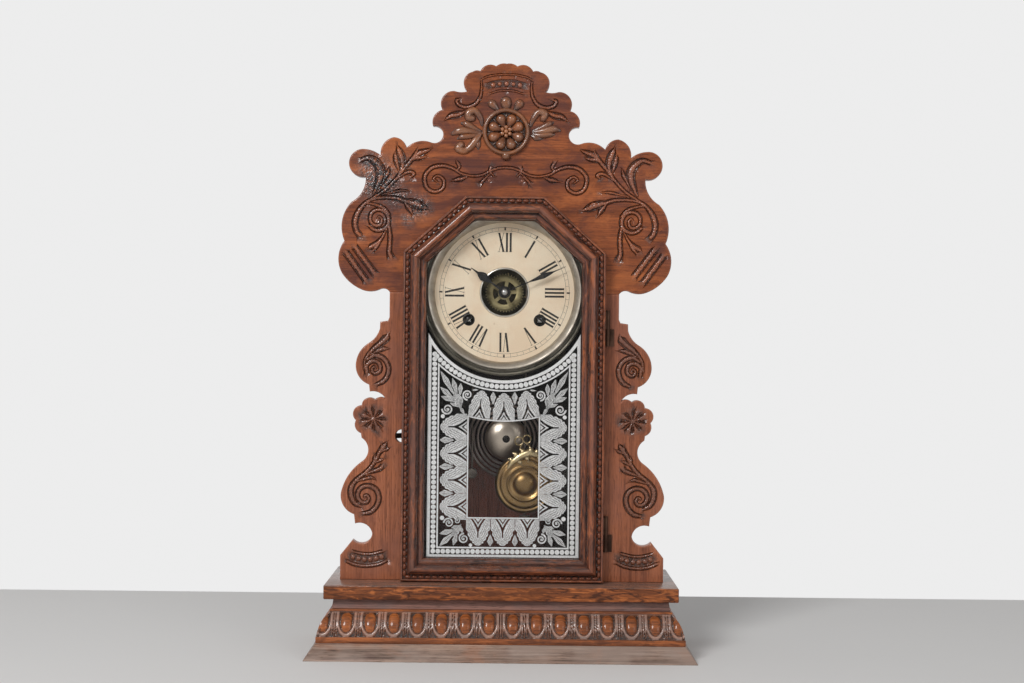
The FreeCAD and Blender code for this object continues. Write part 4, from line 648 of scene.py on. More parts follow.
def carved_board(node, finish, relief, grime_spots=(), stain=0.0):
    """A sawn board with a carved front, an eased edge, straight sides and a flat back."""
    low, high = mm_box(node)
    loops = [smooth_edges(loop, OUTLINE_GAP) for loop in front_loops(node)]
    edge = np.vstack(loops)
    fill = np.stack(np.meshgrid(np.arange(low.x, high.x, FILL_GAP), np.arange(low.z, high.z, FILL_GAP)), -1)
    inner = [relief.points(), fill.reshape(-1, 2)]
    for loop in loops:
        dense = smooth_edges(loop, RIM_GAP)
        around = np.roll(dense, -1, axis=0) - np.roll(dense, 1, axis=0)
        around /= np.maximum(np.hypot(*around.T), 1e-9)[:, None]
        aside = np.stack([-around[:, 1], around[:, 0]], 1)
        for reach in RIM_ROWS:
            inner.extend([dense + reach * aside, dense - reach * aside])
    inner = thinned(np.vstack(inner), POINT_GAP)
    inner = inner[within(inner, loops)]
    inner = inner[to_outline(inner, loops) > RIM_CLEAR]
    points = np.vstack([edge, inner])
    bounds, start = [], 0
    for loop in loops:
        count = len(loop)
        bounds += [(start + k, start + (k + 1) % count) for k in range(count)]
        start += count
    made = delaunay_2d_cdt([Vector(p) for p in points], bounds, [], 0, 1e-6)
    flat = np.array([tuple(p) for p in made[0]])
    faces = np.array(made[2])
    faces = faces[within(flat[faces].mean(1), loops)]
    away = to_outline(flat, loops)
    inward = EDGE_ROUND - np.minimum(away, EDGE_ROUND)
    rounded = (EDGE_ROUND - np.sqrt(EDGE_ROUND ** 2 - inward ** 2)) * EDGE_SHARE
    carve, raised = relief.depth(flat)
    waves = WAVE_HIGH * np.sin(flat[:, 0] / WAVE_ACROSS + 1.3) * np.sin(flat[:, 1] / WAVE_UP)
    front_y = low.y - np.minimum(carve, PROUD_MOST) + rounded + waves * (away > WAVE_CLEAR)
    work = bmesh.new()
    layers = float_layers(work, "recess", "rub", "grime")
    # Hollows darken as painted shade and dirt, and the wings' stain darkens their ridges; the eased rim and
    # the raised ridges lighten for wear and as painted highlight.
    recess = np.maximum(np.clip(-carve / 1.2 - 0.1, 0, 1), stain * raised)
    rub = np.maximum(np.clip((EDGE_ROUND - away) / EDGE_ROUND, 0, 1) * 0.8,
                     raised * np.clip(1 + carve, 0, 1) * 0.7 * (1 - stain))
    grime = np.zeros(len(flat))
    for x, z, radius, share in grime_spots:
        away_share = np.hypot(flat[:, 0] - x, flat[:, 1] - z) / radius
        grime = np.maximum(grime, share * np.clip(1.3 - away_share, 0, 1))
    spots = []
    for (x, z), y, *marks in zip(flat, front_y, recess, rub, grime):
        spot = work.verts.new((x, y, z))
        for layer, mark in zip(layers, marks):
            spot[layer] = mark
        spots.append(spot)
    for face in faces:
        work.faces.new([spots[i] for i in face])
    rim = [edge for edge in work.edges if len(edge.link_faces) == 1]
    wall = bmesh.ops.extrude_edge_only(work, edges=rim)["geom"]
    back = [item for item in wall if isinstance(item, bmesh.types.BMVert)]
    for spot in back:
        spot.co.y = high.y
        spot[layers[0]] = 0.0
    back_edges = [edge for edge in wall if isinstance(edge, bmesh.types.BMEdge)
                  and all(spot.co.y == high.y for spot in edge.verts)]
    bmesh.ops.triangle_fill(work, edges=back_edges, use_beauty=True)
    made_piece(node + "_carved", work, 50.0, finish, "case", "oak_front", node, merge=TIGHT_WELD)


def head_carving():
    it = Relief()
    spray = (
        [(125.9, 424.2, 0.7), (124.5, 427.1, 1.1), (121.6, 424.6, 1.3), (122.9, 419.3, 1.4),
         (128.1, 418.3, 1.5), (132.8, 422.6, 1.5), (132.2, 429.6, 1.6), (126.3, 433.8, 1.6),
         (118.8, 432.1, 1.7), (114.6, 425.1, 1.8), (116.3, 417.6, 1.8), (122.2, 413.7, 1.7),
         (129.2, 414.1, 1.6), (134.5, 418.4, 1.3)],
        [(137.4, 440.3, 0.9), (128.9, 438.9, 1.3), (120.4, 435.8, 1.5), (114.6, 429.4, 1.5)],
        [(128.8, 446.6, 0.6), (137.4, 440.8, 1.5), (144.5, 431.8, 2.1), (147.8, 422.3, 2.3),
         (146.8, 413.7, 2.1), (143.1, 408.3, 2.3)],
        [(136.4, 440.3, 0.9), (128.8, 446.6, 1.3), (119.1, 452.9, 1.4), (110.5, 461.4, 1.4),
         (101.8, 472.5, 1.5), (94.3, 481.5, 1.7), (88.8, 490.0, 1.3), (86.7, 494.2, 0.9)],
        [(93.2, 482.5, 1.1), (86.7, 488.9, 2.3), (79.2, 492.0, 1.9), (73.3, 494.6, 0.6)],
        [(94.3, 482.6, 1.1), (88.9, 485.2, 2.1), (82.5, 485.6, 1.7), (77.7, 487.2, 0.6)],
        [(105.1, 469.9, 0.9), (101.8, 476.2, 1.5), (102.3, 483.7, 2.8), (104.8, 491.2, 2.6),
         (107.4, 497.6, 0.6)],
        [(105.1, 472.0, 0.6), (107.1, 479.5, 1.9), (108.6, 485.9, 1.9), (109.3, 490.7, 0.5)],
        [(129.9, 449.8, 0.9), (126.0, 458.3, 2.3), (123.3, 466.8, 3.2), (124.2, 475.4, 3.2),
         (129.5, 481.9, 2.8), (135.9, 484.6, 1.9), (142.3, 482.5, 1.7)],
        [(123.4, 455.1, 0.5), (120.1, 462.5, 1.1), (116.3, 470.0, 1.7), (114.1, 476.9, 0.4)],
        [(108.3, 463.5, 0.5), (102.4, 467.7, 1.1), (95.4, 471.4, 1.5), (90.1, 469.7, 1.5),
         (92.8, 466.7, 1.1)],
        [(121.3, 449.2, 0.5), (112.8, 450.7, 0.9), (104.2, 452.8, 1.3), (94.0, 452.9, 0.5)],
        [(136.4, 441.4, 0.6), (126.7, 445.0, 1.3), (116.0, 445.9, 1.5), (105.3, 444.8, 1.7),
         (97.9, 442.0, 1.9)],
        [(100.0, 443.1, 1.3), (91.5, 440.9, 2.8), (83.0, 437.6, 2.8), (75.0, 434.5, 0.4)],
        [(99.0, 441.0, 1.1), (94.8, 435.6, 2.1), (91.6, 430.2, 0.9)],
        [(92.6, 439.8, 1.1), (87.2, 441.9, 1.7), (83.5, 440.8, 0.6)],
        [(115.4, 420.8, 1.1), (113.7, 413.3, 1.7), (113.1, 402.7, 1.9), (113.9, 393.1, 1.9),
         (112.2, 387.2, 2.8)],
        [(116.3, 415.5, 0.6), (120.7, 407.0, 1.3), (126.1, 400.7, 1.9), (132.0, 397.0, 2.1),
         (134.7, 395.4, 0.4)],
        [(120.7, 407.0, 0.6), (125.1, 399.1, 1.5), (129.9, 393.2, 1.3)],
        [(147.5, 396.6, 2.5), (128.0, 370.8, 2.5)],
        [(156.3, 390.9, 2.5), (136.7, 364.3, 2.5)],
    )
    garland = (
        [(67.0, 461.6, 0.8), (71.1, 465.0, 1.0), (66.5, 467.9, 1.2), (60.9, 463.3, 1.4), (62.1, 455.2, 1.5),
         (70.1, 451.9, 1.6), (77.9, 456.5, 1.7), (79.6, 467.3, 1.7), (72.7, 475.6, 1.7), (61.9, 477.8, 1.6),
         (51.7, 475.0, 1.4), (43.9, 470.3, 1.2), (33.7, 468.0, 1.2), (23.5, 469.0, 1.2), (15.6, 472.8, 1.2),
         (7.6, 475.8, 1.2), (0.0, 476.6, 1.2)],
        [(52.9, 475.0, 0.9), (47.9, 473.8, 1.1), (45.6, 477.6, 1.4), (47.8, 481.0, 1.4)],
        [(11.1, 467.7, 0.9), (15.6, 472.8, 1.1), (14.4, 476.8, 1.6)],
        [(14.5, 471.2, 0.7), (20.2, 465.6, 1.1), (24.1, 461.1, 1.6)],
        [(38.3, 466.9, 0.9), (45.1, 464.7, 2.0), (53.0, 463.2, 0.7)],
    )
    crown = (
        [(0.0, 568.3, 0.9), (9.8, 567.8, 0.9), (18.8, 566.0, 0.9), (24.9, 563.1, 0.8)],
        [(0.0, 552.4, 0.9), (7.9, 551.9, 0.9), (16.0, 549.4, 0.8)],
        [(24.9, 561.4, 0.9), (24.6, 553.5, 1.2), (26.1, 545.5, 1.4), (31.2, 538.5, 1.6), (39.3, 535.6, 1.6),
         (46.8, 537.7, 1.6), (49.2, 542.2, 1.4), (46.4, 543.2, 1.2)],
        [(40.3, 531.6, 0.8), (46.4, 528.6, 2.4), (54.4, 526.7, 2.2), (60.5, 522.8, 0.6)],
    )
    for rows in spray + garland + crown:
        it.ribbon(rows)
    it.tray([(0.0, 559.6, 4.2), (8.0, 559.2, 4.2), (18.0, 557.0, 3.6)])
    it.bead(0.0, 559.2, 2.6, False)
    it.bead(6.8, 558.9, 2.2)
    it.bead(13.2, 557.9, 2.6)
    it.bead(16.2, 463.4, 1.9)
    return it


def wing_carving(hand):
    it = Relief()
    strokes = (
        [(126.0, 276.8, 0.8), (127.5, 279.3, 1.1), (129.9, 276.2, 1.4), (126.7, 272.2, 1.6),
         (121.6, 275.6, 1.7), (122.9, 282.8, 1.7), (129.3, 284.8, 1.8), (135.2, 280.2, 1.8),
         (134.6, 272.4, 1.8)],
        [(134.4, 286.2, 1.2), (126.9, 290.4, 1.9), (118.4, 287.4, 1.9), (113.4, 279.4, 1.9),
         (114.2, 270.9, 1.9), (118.1, 265.2, 1.9), (124.1, 261.9, 1.5)],
        [(137.6, 276.0, 0.8), (136.8, 284.9, 1.2), (133.9, 290.5, 1.4), (128.4, 296.6, 1.9),
         (121.3, 302.1, 2.4), (115.8, 307.6, 2.8), (113.7, 311.3, 0.8)],
        [(131.6, 290.6, 0.6), (125.0, 294.6, 1.5), (118.5, 296.8, 1.7), (112.3, 297.1, 0.4)],
        [(135.2, 149.4, 0.6), (135.9, 151.8, 1.1), (133.3, 152.5, 1.3), (131.4, 148.8, 1.5),
         (134.3, 145.2, 1.6), (139.9, 146.6, 1.7), (142.7, 152.8, 1.8), (139.6, 159.4, 1.9),
         (132.2, 161.9, 1.9), (124.4, 158.1, 2.0), (121.6, 150.7, 2.0), (123.6, 142.3, 2.0),
         (129.8, 136.0, 1.9), (137.0, 134.5, 1.5)],
        [(138.4, 141.1, 1.1), (144.8, 144.4, 1.9), (148.9, 151.6, 2.1), (148.8, 160.0, 2.1),
         (144.2, 167.1, 1.9), (136.8, 173.3, 1.7), (130.2, 179.6, 1.7), (125.2, 187.1, 1.7),
         (121.5, 194.7, 1.9), (116.8, 201.1, 2.3), (114.2, 205.4, 0.6)],
        [(119.9, 194.7, 0.6), (119.1, 200.0, 1.5), (119.5, 203.8, 0.5)],
        [(118.9, 195.8, 0.6), (114.6, 197.9, 1.5), (111.2, 199.6, 0.5)],
        [(127.3, 183.9, 0.6), (126.1, 189.3, 1.5), (125.5, 193.3, 0.5)],
        [(126.2, 183.9, 0.6), (120.9, 187.0, 1.5), (116.7, 188.5, 0.5)],
        [(134.6, 173.2, 0.6), (128.3, 175.9, 1.5), (121.9, 178.1, 1.9), (118.7, 180.8, 2.1)],
        [(143.1, 166.1, 0.6), (136.7, 168.3, 1.3), (130.3, 170.0, 1.5), (125.0, 168.5, 0.6)],
        [(147.2, 97.0, 1.4), (139.1, 94.9, 1.4), (128.4, 94.6, 1.4), (117.6, 97.3, 1.4)],
        [(152.1, 87.3, 1.4), (144.3, 84.0, 1.4), (132.6, 82.8, 1.4), (120.9, 84.7, 1.4),
         (113.2, 88.4, 1.4)],
    )
    flower = (127.6, 227.8)
    tips = ((132.9, 238.2), (124.4, 237.8), (117.4, 232.3), (115.8, 223.6), (122.8, 216.4), (131.6, 217.6),
            (138.6, 223.4), (139.2, 231.8))
    petals = []
    for x, z in tips:
        run = (x - flower[0], z - flower[1])
        petals.append([(flower[0] + share * run[0], flower[1] + share * run[1], wide)
                       for share, wide in ((0.18, 0.7), (0.45, 1.3), (0.72, 2.3), (0.90, 3.0))])
    for rows in strokes + tuple(petals):
        it.ribbon([(hand * x, z, wide) for x, z, wide in rows], False)
    tray = ((148.2, 91.9, 4.0), (140.0, 89.6, 4.4), (132.6, 88.9, 4.6), (124.6, 89.8, 4.4),
            (117.0, 92.2, 4.0))
    it.tray([(hand * x, z, wide) for x, z, wide in tray], False)
    for x, z in ((146.6, 91.5), (141.0, 89.9), (135.1, 89.1), (129.5, 89.2), (123.6, 90.2), (118.3, 91.8)):
        it.bead(hand * x, z, 2.6, False)
    return it


WING_STAIN = 0.55
# Black stain on the headboard: x, z, radius, strength.
HEAD_GRIME = ((-124, 462, 25, 1.0), (-132, 478, 14, 1.0), (-84, 437, 13, 1.0), (-106, 447, 15, 0.8),
              (-96, 424, 8, 0.8), (-118, 422, 12, 0.6), (-100, 478, 10, 0.6), (-137, 428, 9, 0.5))
carved_board("headboard", head_oak, head_carving(), HEAD_GRIME)
carved_board("wing_left", wing_oak, wing_carving(-1), stain=WING_STAIN)
carved_board("wing_right", wing_oak, wing_carving(1), stain=WING_STAIN)


# ---------------------------------------------------------------- applied carving on the crest

def add_roll(work, rows, floor, lift, gap=1.0, blunt=True, across=9):
    """A carved roll on a floor at the given depth: half round across, with round ends."""
    path = smooth_path(rows, gap)
    aside = sides_of(path)
    if blunt:
        for end, inward in ((0, 1), (-1, -2)):
            run = path[end, :2] - path[inward, :2]
            run /= max(np.hypot(*run), 1e-9)
            caps = [np.concatenate([path[end, :2] + run * share * path[end, 2],
                                    [path[end, 2] * math.sqrt(1 - share ** 2)]])
                    for share in (0.35, 0.65, 0.87, 0.985)]
            if end == 0:
                path = np.vstack(caps[::-1] + [path])
                aside = np.vstack([aside[:1]] * len(caps) + [aside])
            else:
                path = np.vstack([path] + caps)
                aside = np.vstack([aside] + [aside[-1:]] * len(caps))
    angles = np.linspace(0, math.pi, across)
    loops = []
    for (x, z, wide), (ax, az) in zip(path, aside):
        loops.append([work.verts.new((x + wide * math.cos(a) * ax, floor - lift * wide * math.sin(a),
                                      z + wide * math.cos(a) * az)) for a in angles])
    for first, second in zip(loops, loops[1:]):
        for k in range(across - 1):
            work.faces.new((first[k], first[k + 1], second[k + 1], second[k]))
        work.faces.new((first[-1], first[0], second[0], second[-1]))
    work.faces.new(loops[0])
    work.faces.new(loops[-1][::-1])


def add_turned(work, rows, centre, steps=64, hollow=False, base=0.0, high=1.0, reach=1.0):
    """A turned form about an axis along Y: rows of radius and rise, closed on the axis or in a ring."""
    cx, cz = centre
    turns = [2 * math.pi * k / steps for k in range(steps)]
    rings = []
    for share, rise in rows:
        radius, y = share * reach, base + rise * high
        if radius < 1e-6:
            rings.append([work.verts.new((cx, y, cz))] * steps)
        else:
            rings.append([work.verts.new((cx + radius * math.cos(turn), y, cz + radius * math.sin(turn)))
                          for turn in turns])
    pairs = list(zip(rings, rings[1:]))
    if hollow:
        pairs.append((rings[-1], rings[0]))
    for first, second in pairs:
        for k in range(steps):
            spots = [first[k], first[(k + 1) % steps], second[(k + 1) % steps], second[k]]
            spots = [spot for place, spot in enumerate(spots) if spot not in spots[:place]]
            if len(spots) > 2:
                work.faces.new(spots)


def turned_piece(name, rows, centre, steps, sharp_degrees, finish, body, slot, *nodes, **form):
    """One turned form as a piece of its own."""
    work = bmesh.new()
    add_turned(work, rows, centre, steps, **form)
    made_piece(name, work, sharp_degrees, finish, body, slot, *nodes)


def polar(centre, radius, degrees):
    """A point at a radius and an angle clockwise from the top."""
    turn = math.radians(degrees)
    return centre[0] + radius * math.sin(turn), centre[1] + radius * math.cos(turn)


BOARD_FRONT = mm_box("headboard")[0].y
SEAT = 0.7
rosette_low, rosette_high = mm_box("crest_rosette")
ROSETTE = mm_middle(rosette_low, rosette_high)
PETALS, BEADS = 8, 6
PETAL_TURN, BEAD_TURN = 360 / PETALS, 360 / BEADS
ROSETTE_RING, RING_HALF, RING_RISE = 21.2, 2.6, 5.6
DISC_ROUND, BEAD_CIRCLE = 19.6, 4.1
FOOT_BALL, FOOT_BALL_RISE, FOOT_BALL_PLACE = 5.0, 6.0, 23.4
SPRAY_SWELL = 1.3
# Leaf and dart petals: distance from the middle, half width.
PETAL_ROWS = ((5.0, 2.0), (8.0, 3.3), (11.0, 4.8), (13.4, 5.6))
DART_ROWS = ((11.5, 0.8), (16.0, 1.5), (18.4, 1.1))
# Leaves over the ring: place from the middle and half width, then lift.
RING_LEAVES = (
    ([(-7.0, 20.0, 1.6), (-11.0, 24.4, 3.6), (-14.0, 27.6, 4.7)], 0.85),
    ([(0.0, 20.5, 2.4), (-0.2, 26.0, 5.4), (-0.4, 30.0, 5.8)], 0.8),
    ([(5.0, 15.0, 1.5), (8.0, 21.0, 2.0), (11.0, 25.6, 3.9), (13.0, 28.0, 4.7)], 0.9))


def make_rosette():
    work = bmesh.new()
    floor = BOARD_FRONT + SEAT
    rows = [(ROSETTE_RING + RING_HALF * math.cos(a), floor - RING_RISE * max(math.sin(a), 0.0))
            for a in np.linspace(0, math.pi, 11)]
    add_turned(work, rows, ROSETTE, 96, True)
    disc = ((0, -1.5), (17.0, -1.0), (DISC_ROUND, -0.8), (DISC_ROUND, 0), (0, 0))
    add_turned(work, [(radius, floor + rise) for radius, rise in disc], ROSETTE, 48)
    for count in range(PETALS):
        turn = PETAL_TURN / 2 + PETAL_TURN * count
        for angle, table, lift in ((turn, PETAL_ROWS, 1.1), (turn + PETAL_TURN / 2, DART_ROWS, 1.6)):
            rows = [(*polar(ROSETTE, reach, angle), wide) for reach, wide in table]
            add_roll(work, rows, floor, lift, 0.7)
    for count in range(BEADS + 1):
        spot = polar(ROSETTE, BEAD_CIRCLE, BEAD_TURN * count) if count else ROSETTE
        radius, rise = (2.0, 7.6) if count else (2.3, 8.4)
        dome = [(0, floor - rise)]
        for turn in (math.pi / 2 * k / 6 for k in range(1, 7)):
            dome.append((radius * math.sin(turn), floor - rise + radius * (1 - math.cos(turn))))
        add_turned(work, dome + [(radius, floor - 1.5), (0, floor - 1.5)], spot, 14)
    ball = [(FOOT_BALL * math.sin(turn), floor - FOOT_BALL_RISE * math.cos(turn))
            for turn in np.linspace(0, math.pi / 2, 8)]
    add_turned(work, ball + [(0, floor)], polar(ROSETTE, FOOT_BALL_PLACE, 180), 24)
    x, z = ROSETTE
    for rows, lift in RING_LEAVES:
        add_roll(work, [(x + a, z + b, wide) for a, b, wide in rows], floor, lift, 0.8)
    return closed_mesh("crest_rosette_carved", work, 45.0)


def make_sprays():
    work = bmesh.new()
    x, z = ROSETTE
    for rows, lift in (
            # left: rolled curl, three leaf lobes, lower curl with its small leaf
            ([(-23.6, 7.0, 1.5), (-25.6, 14.2, 2.4), (-31.0, 20.6, 3.0), (-37.0, 18.4, 3.3),
              (-37.0, 13.8, 3.2), (-33.6, 13.2, 3.0)], 1.0),
            ([(-25.0, 0.6, 1.2), (-32.4, 4.0, 2.4), (-39.0, 7.4, 2.8), (-43.4, 8.2, 1.4)], 1.1),
            ([(-25.0, -0.8, 1.3), (-35.4, 0.6, 2.6), (-45.4, 0.8, 3.3), (-52.4, -2.0, 1.8)], 1.1),
            ([(-25.0, -2.0, 1.2), (-34.4, -4.2, 2.2), (-43.0, -5.2, 2.3), (-47.6, -7.0, 1.0)], 1.1),
            ([(-24.6, -1.6, 1.7), (-30.0, -8.6, 3.2), (-35.0, -14.8, 3.0), (-41.0, -18.8, 3.0),
              (-46.8, -16.6, 3.5), (-44.4, -12.8, 3.0)], 1.0),
            ([(-26.0, -6.0, 1.2), (-27.4, -13.0, 2.4), (-27.0, -17.6, 0.8)], 0.9),
            # right: rolled curl, three leaf lobes, small leaf
            ([(24.0, 6.8, 1.6), (27.0, 14.0, 2.4), (32.0, 20.0, 2.9), (37.8, 18.2, 3.3), (36.2, 13.6, 2.9)],
             1.0),
            ([(26.6, 1.4, 1.2), (34.6, 4.4, 2.3), (42.4, 8.4, 2.6), (46.0, 9.8, 1.0)], 1.1),
            ([(26.6, 0.0, 1.4), (36.6, 1.2, 2.9), (46.4, 3.4, 3.1), (52.8, 2.0, 1.3)], 1.1),
            ([(26.6, -1.8, 1.2), (33.6, -3.0, 2.5), (41.6, -2.0, 2.5), (47.4, -2.0, 1.0)], 1.1),
            ([(25.0, -3.2, 1.3), (30.0, -5.6, 2.5), (37.0, -5.6, 0.8)], 0.9)):
        rows = [(x + a, z + b, SPRAY_SWELL * wide) for a, b, wide in rows]
        add_roll(work, rows, BOARD_FRONT + SEAT, lift, 0.9)
    return closed_mesh("crest_leaves_carved", work, 45.0)


def mark_wear_dirt_and_painted_light(mesh, low_y, high_y):
    """Marks a raised piece lighter on its high faces, for wear and as painted highlight, and darker in its
    low ones, as painted shade and dirt.
    """
    count = len(mesh.vertices)
    spots = np.empty(count * 3)
    mesh.vertices.foreach_get("co", spots)
    share = np.clip((spots[1::3] / MM - high_y) / (low_y - high_y), 0, 1)
    for name, values in (("rub", 0.9 * share ** 3), ("recess", np.clip(1.35 - 2.3 * share, 0, 1) * 0.95)):
        layer = mesh.attributes.new(name, "FLOAT", "POINT")
        layer.data.foreach_set("value", values.astype(np.float32))
    return mesh


for node, mesh, rise in (("crest_rosette", make_rosette(), 6.0), ("crest_leaves", make_sprays(), 3.6)):
    piece(node + "_carved", mark_wear_dirt_and_painted_light(mesh, BOARD_FRONT - rise, BOARD_FRONT), crest_oak, "case", "oak_front",
          node)


# ---------------------------------------------------------------- case and base

# The shelf's top face is greyed, as dust and a painted reflection of the pale room: how much, and how far
# down from the top.
SHELF_DUST_AND_SHEEN, DUST_AND_SHEEN_DEEP = 0.6, 0.5


def eased_copy(node, finish, slot, ease_width):
    """A node's own shape with its sharp edges softened as a worn board's are."""
    work = node_work(node)
    bmesh.ops.dissolve_limit(work, angle_limit=math.radians(1.0), verts=work.verts, edges=work.edges)
    sharp = [edge for edge in work.edges if edge.calc_face_angle(0.0) > math.radians(25)]
    bmesh.ops.bevel(work, geom=sharp, offset=ease_width, segments=3, profile=0.5, affect="EDGES",
                    clamp_overlap=True)
    return made_piece(node + "_worn", work, 30.0, finish, "case", slot, node, merge=TIGHT_WELD)


for node, finish, slot, ease_width in (
        ("base_board", worn_oak, "oak_base", 0.8), ("base_neck", neck_oak, "oak_base", 0.6),
        ("base_shelf", base_oak, "oak_base", 1.1), ("case_sides", case_oak, "case_wood", 0.5),
        ("case_top", case_oak, "case_wood", 0.7), ("backboard", back_oak, "case_wood", 0.5)):
    board = eased_copy(node, finish, slot, ease_width)
    if node == "base_shelf":
        # Grey on the shelf's top face: dust and painted reflection.
        dust_and_sheen = board.data.attributes.new("recess", "FLOAT", "POINT")
        dust_and_sheen_level = mm_box(node)[1].z - DUST_AND_SHEEN_DEEP
        dust_and_sheen.data.foreach_set("value", [SHELF_DUST_AND_SHEEN if vert.co.z / MM > dust_and_sheen_level else 0.0
                                        for vert in board.data.vertices])

frieze_low, frieze_high = mm_box("base_frieze")
EGG_PITCH, EGG_DEEP, BAND_EDGE = 22.8, 2.5, 1.2
EGG_CURVE, EGG_HALF, DART_START = 2.6, 5.3, 0.06
FRIEZE_FILLET, FRIEZE_LIP, FRIEZE_SLOPE, FRIEZE_WALL = 6.1, 2.2, 12.3, 16.0
FRIEZE_BOW, FRIEZE_QUIRK, FRIEZE_STEPS, FRIEZE_GAP = 2.3, 0.4, 44, 0.8
FRIEZE_HIGH = frieze_high.z - frieze_low.z


def frieze_profile():
    """Rows of inset, height and place on the egg band, from foot to lip; then the slope and its lean."""
    rows = [(0.6, 0.0, None), (0.0, 0.6, None), (0.0, FRIEZE_FILLET - 0.5, None),
            (0.5, FRIEZE_FILLET, None)]
    top = FRIEZE_HIGH - FRIEZE_LIP
    slope = math.hypot(FRIEZE_SLOPE, top - FRIEZE_FILLET)
    for k in range(FRIEZE_STEPS + 1):
        share = k / FRIEZE_STEPS
        bow = FRIEZE_BOW * math.sin(math.pi * share)
        inset = FRIEZE_SLOPE * share - bow * (top - FRIEZE_FILLET) / slope
        height = FRIEZE_FILLET + (top - FRIEZE_FILLET) * share + bow * FRIEZE_SLOPE / slope
        rows.append((max(inset, 0.0), height, slope * share))
    inset = FRIEZE_SLOPE - FRIEZE_QUIRK
    rows += [(inset, top + 0.2, None), (inset, FRIEZE_HIGH, None)]
    return rows, slope, ((top - FRIEZE_FILLET) / slope, FRIEZE_SLOPE / slope)


def egg_relief(along, up, slope):
    """Depth of the egg-and-dart band below its highest face, and where the eggs are."""
    beside = (along + EGG_PITCH / 2) % EGG_PITCH - EGG_PITCH / 2
    dart = np.abs(np.abs(beside) - EGG_PITCH / 2)
    middle = 0.60 * slope
    level = np.full(np.broadcast(along, up).shape, -EGG_DEEP)
    below = np.minimum(up - middle, 0.0)
    wide, low, half = 8.1, 0.52 * slope, 1.25
    away = np.abs(np.hypot(beside / wide, below / low) - 1.0) * wide
    level = np.maximum(level, -EGG_DEEP + 1.7 * np.sqrt(np.clip(1 - (away / half) ** 2, 0, 1)))
    reach = np.where(up < middle, 0.42 * slope, 0.36 * slope)
    egg = (np.abs(beside / EGG_HALF) ** EGG_CURVE
           + np.abs((up - middle) / reach) ** EGG_CURVE) ** (1 / EGG_CURVE)
    level = np.maximum(level, np.where(egg < 1, -2.3 + 2.6 * np.sqrt(np.clip(1 - egg ** 2.2, 0, 1)), -9))
    start = DART_START * slope
    half_dart = 0.75 * np.clip((up - start) / (0.3 * slope), 0.0, 1.0) + 0.2
    for offset in (0.0, 2.1):
        stem = np.abs(dart - offset)
        stem = -EGG_DEEP + 1.5 * np.sqrt(np.clip(1 - (stem / half_dart) ** 2, 0, 1))
        level = np.maximum(level, np.where(up > start, stem, -9))
    edge = np.minimum(up, slope - up)
    return np.where(edge < BAND_EDGE, np.maximum(level, -EGG_DEEP * edge / BAND_EDGE), level), egg < 0.97


def add_frieze_run(work, layers, start, along, outward, length, mitres, offset):
    """One moulded strip: from a start corner, along its length, eggs on its slope, mitred where asked."""
    rows, slope, lean = frieze_profile()
    columns = int(length / FRIEZE_GAP)
    grid = []

    def spread(inset):
        return np.linspace(inset if mitres[0] else 0.0, length - (inset if mitres[1] else 0.0), columns)

    for inset, height, up in rows:
        run = spread(inset)
        deep, eggs = np.zeros(columns), np.ones(columns, bool)
        if up is not None:
            deep, eggs = egg_relief(run + offset, np.full(columns, up), slope)
        line = []
        for where, down, egg in zip(run, deep, eggs):
            spot = (Vector(start) + Vector(along) * where + Vector(outward) * (-inset + down * lean[0])
                    + Vector((0, 0, height + down * lean[1])))
            vert = work.verts.new(spot)
            # Grooves are darkened, as soil and painted shade; the raised frames beside the eggs are
            # lightened, for wear and as painted highlight.
            raised = min(max((down + EGG_DEEP) / 1.4, 0.0), 1.0)
            vert[layers[0]] = 0.9 * max(1.0 - 1.3 * raised, 0.0) if egg else (1.0 - raised) ** 0.6
            vert[layers[1]] = 0.0 if egg else 0.9 * raised ** 2
            line.append(vert)
        grid.append(line)
    for inset, height in ((FRIEZE_WALL, FRIEZE_HIGH), (FRIEZE_WALL, 0.0)):
        grid.append([work.verts.new(Vector(start) + Vector(along) * where - Vector(outward) * inset
                                    + Vector((0, 0, height))) for where in spread(inset)])
    for lower, upper in zip(grid, grid[1:] + grid[:1]):
        for k in range(columns - 1):
            work.faces.new((lower[k], lower[k + 1], upper[k + 1], upper[k]))
    for end in (0, -1):
        work.faces.new([line[end] for line in grid])


def make_frieze(name, finish, *runs):
    work = bmesh.new()
    layers = float_layers(work, "recess", "rub")
    for run in runs:
        add_frieze_run(work, layers, *run)
    made_piece(name, work, 50.0, finish, "case", "oak_base", "base_frieze", merge=FINE_WELD)


SIDE_EGGS = 177.0
wide, deep = frieze_high.x - frieze_low.x, frieze_high.y - frieze_low.y
left_corner = (frieze_low.x, frieze_low.y, frieze_low.z)
right_corner = (frieze_high.x, frieze_low.y, frieze_low.z)
egg_start = -wide / 2 - EGG_PITCH / 2
side_start = egg_start + wide / 2 + SIDE_EGGS
make_frieze("base_frieze_front", frieze_oak,
            (left_corner, (1, 0, 0), (0, -1, 0), wide, (True, True), egg_start))
make_frieze("base_frieze_sides", base_side_oak,
            (left_corner, (0, 1, 0), (-1, 0, 0), deep, (True, False), side_start),
            (right_corner, (0, 1, 0), (1, 0, 0), deep, (True, False), side_start))


# ---------------------------------------------------------------- things strung along a path

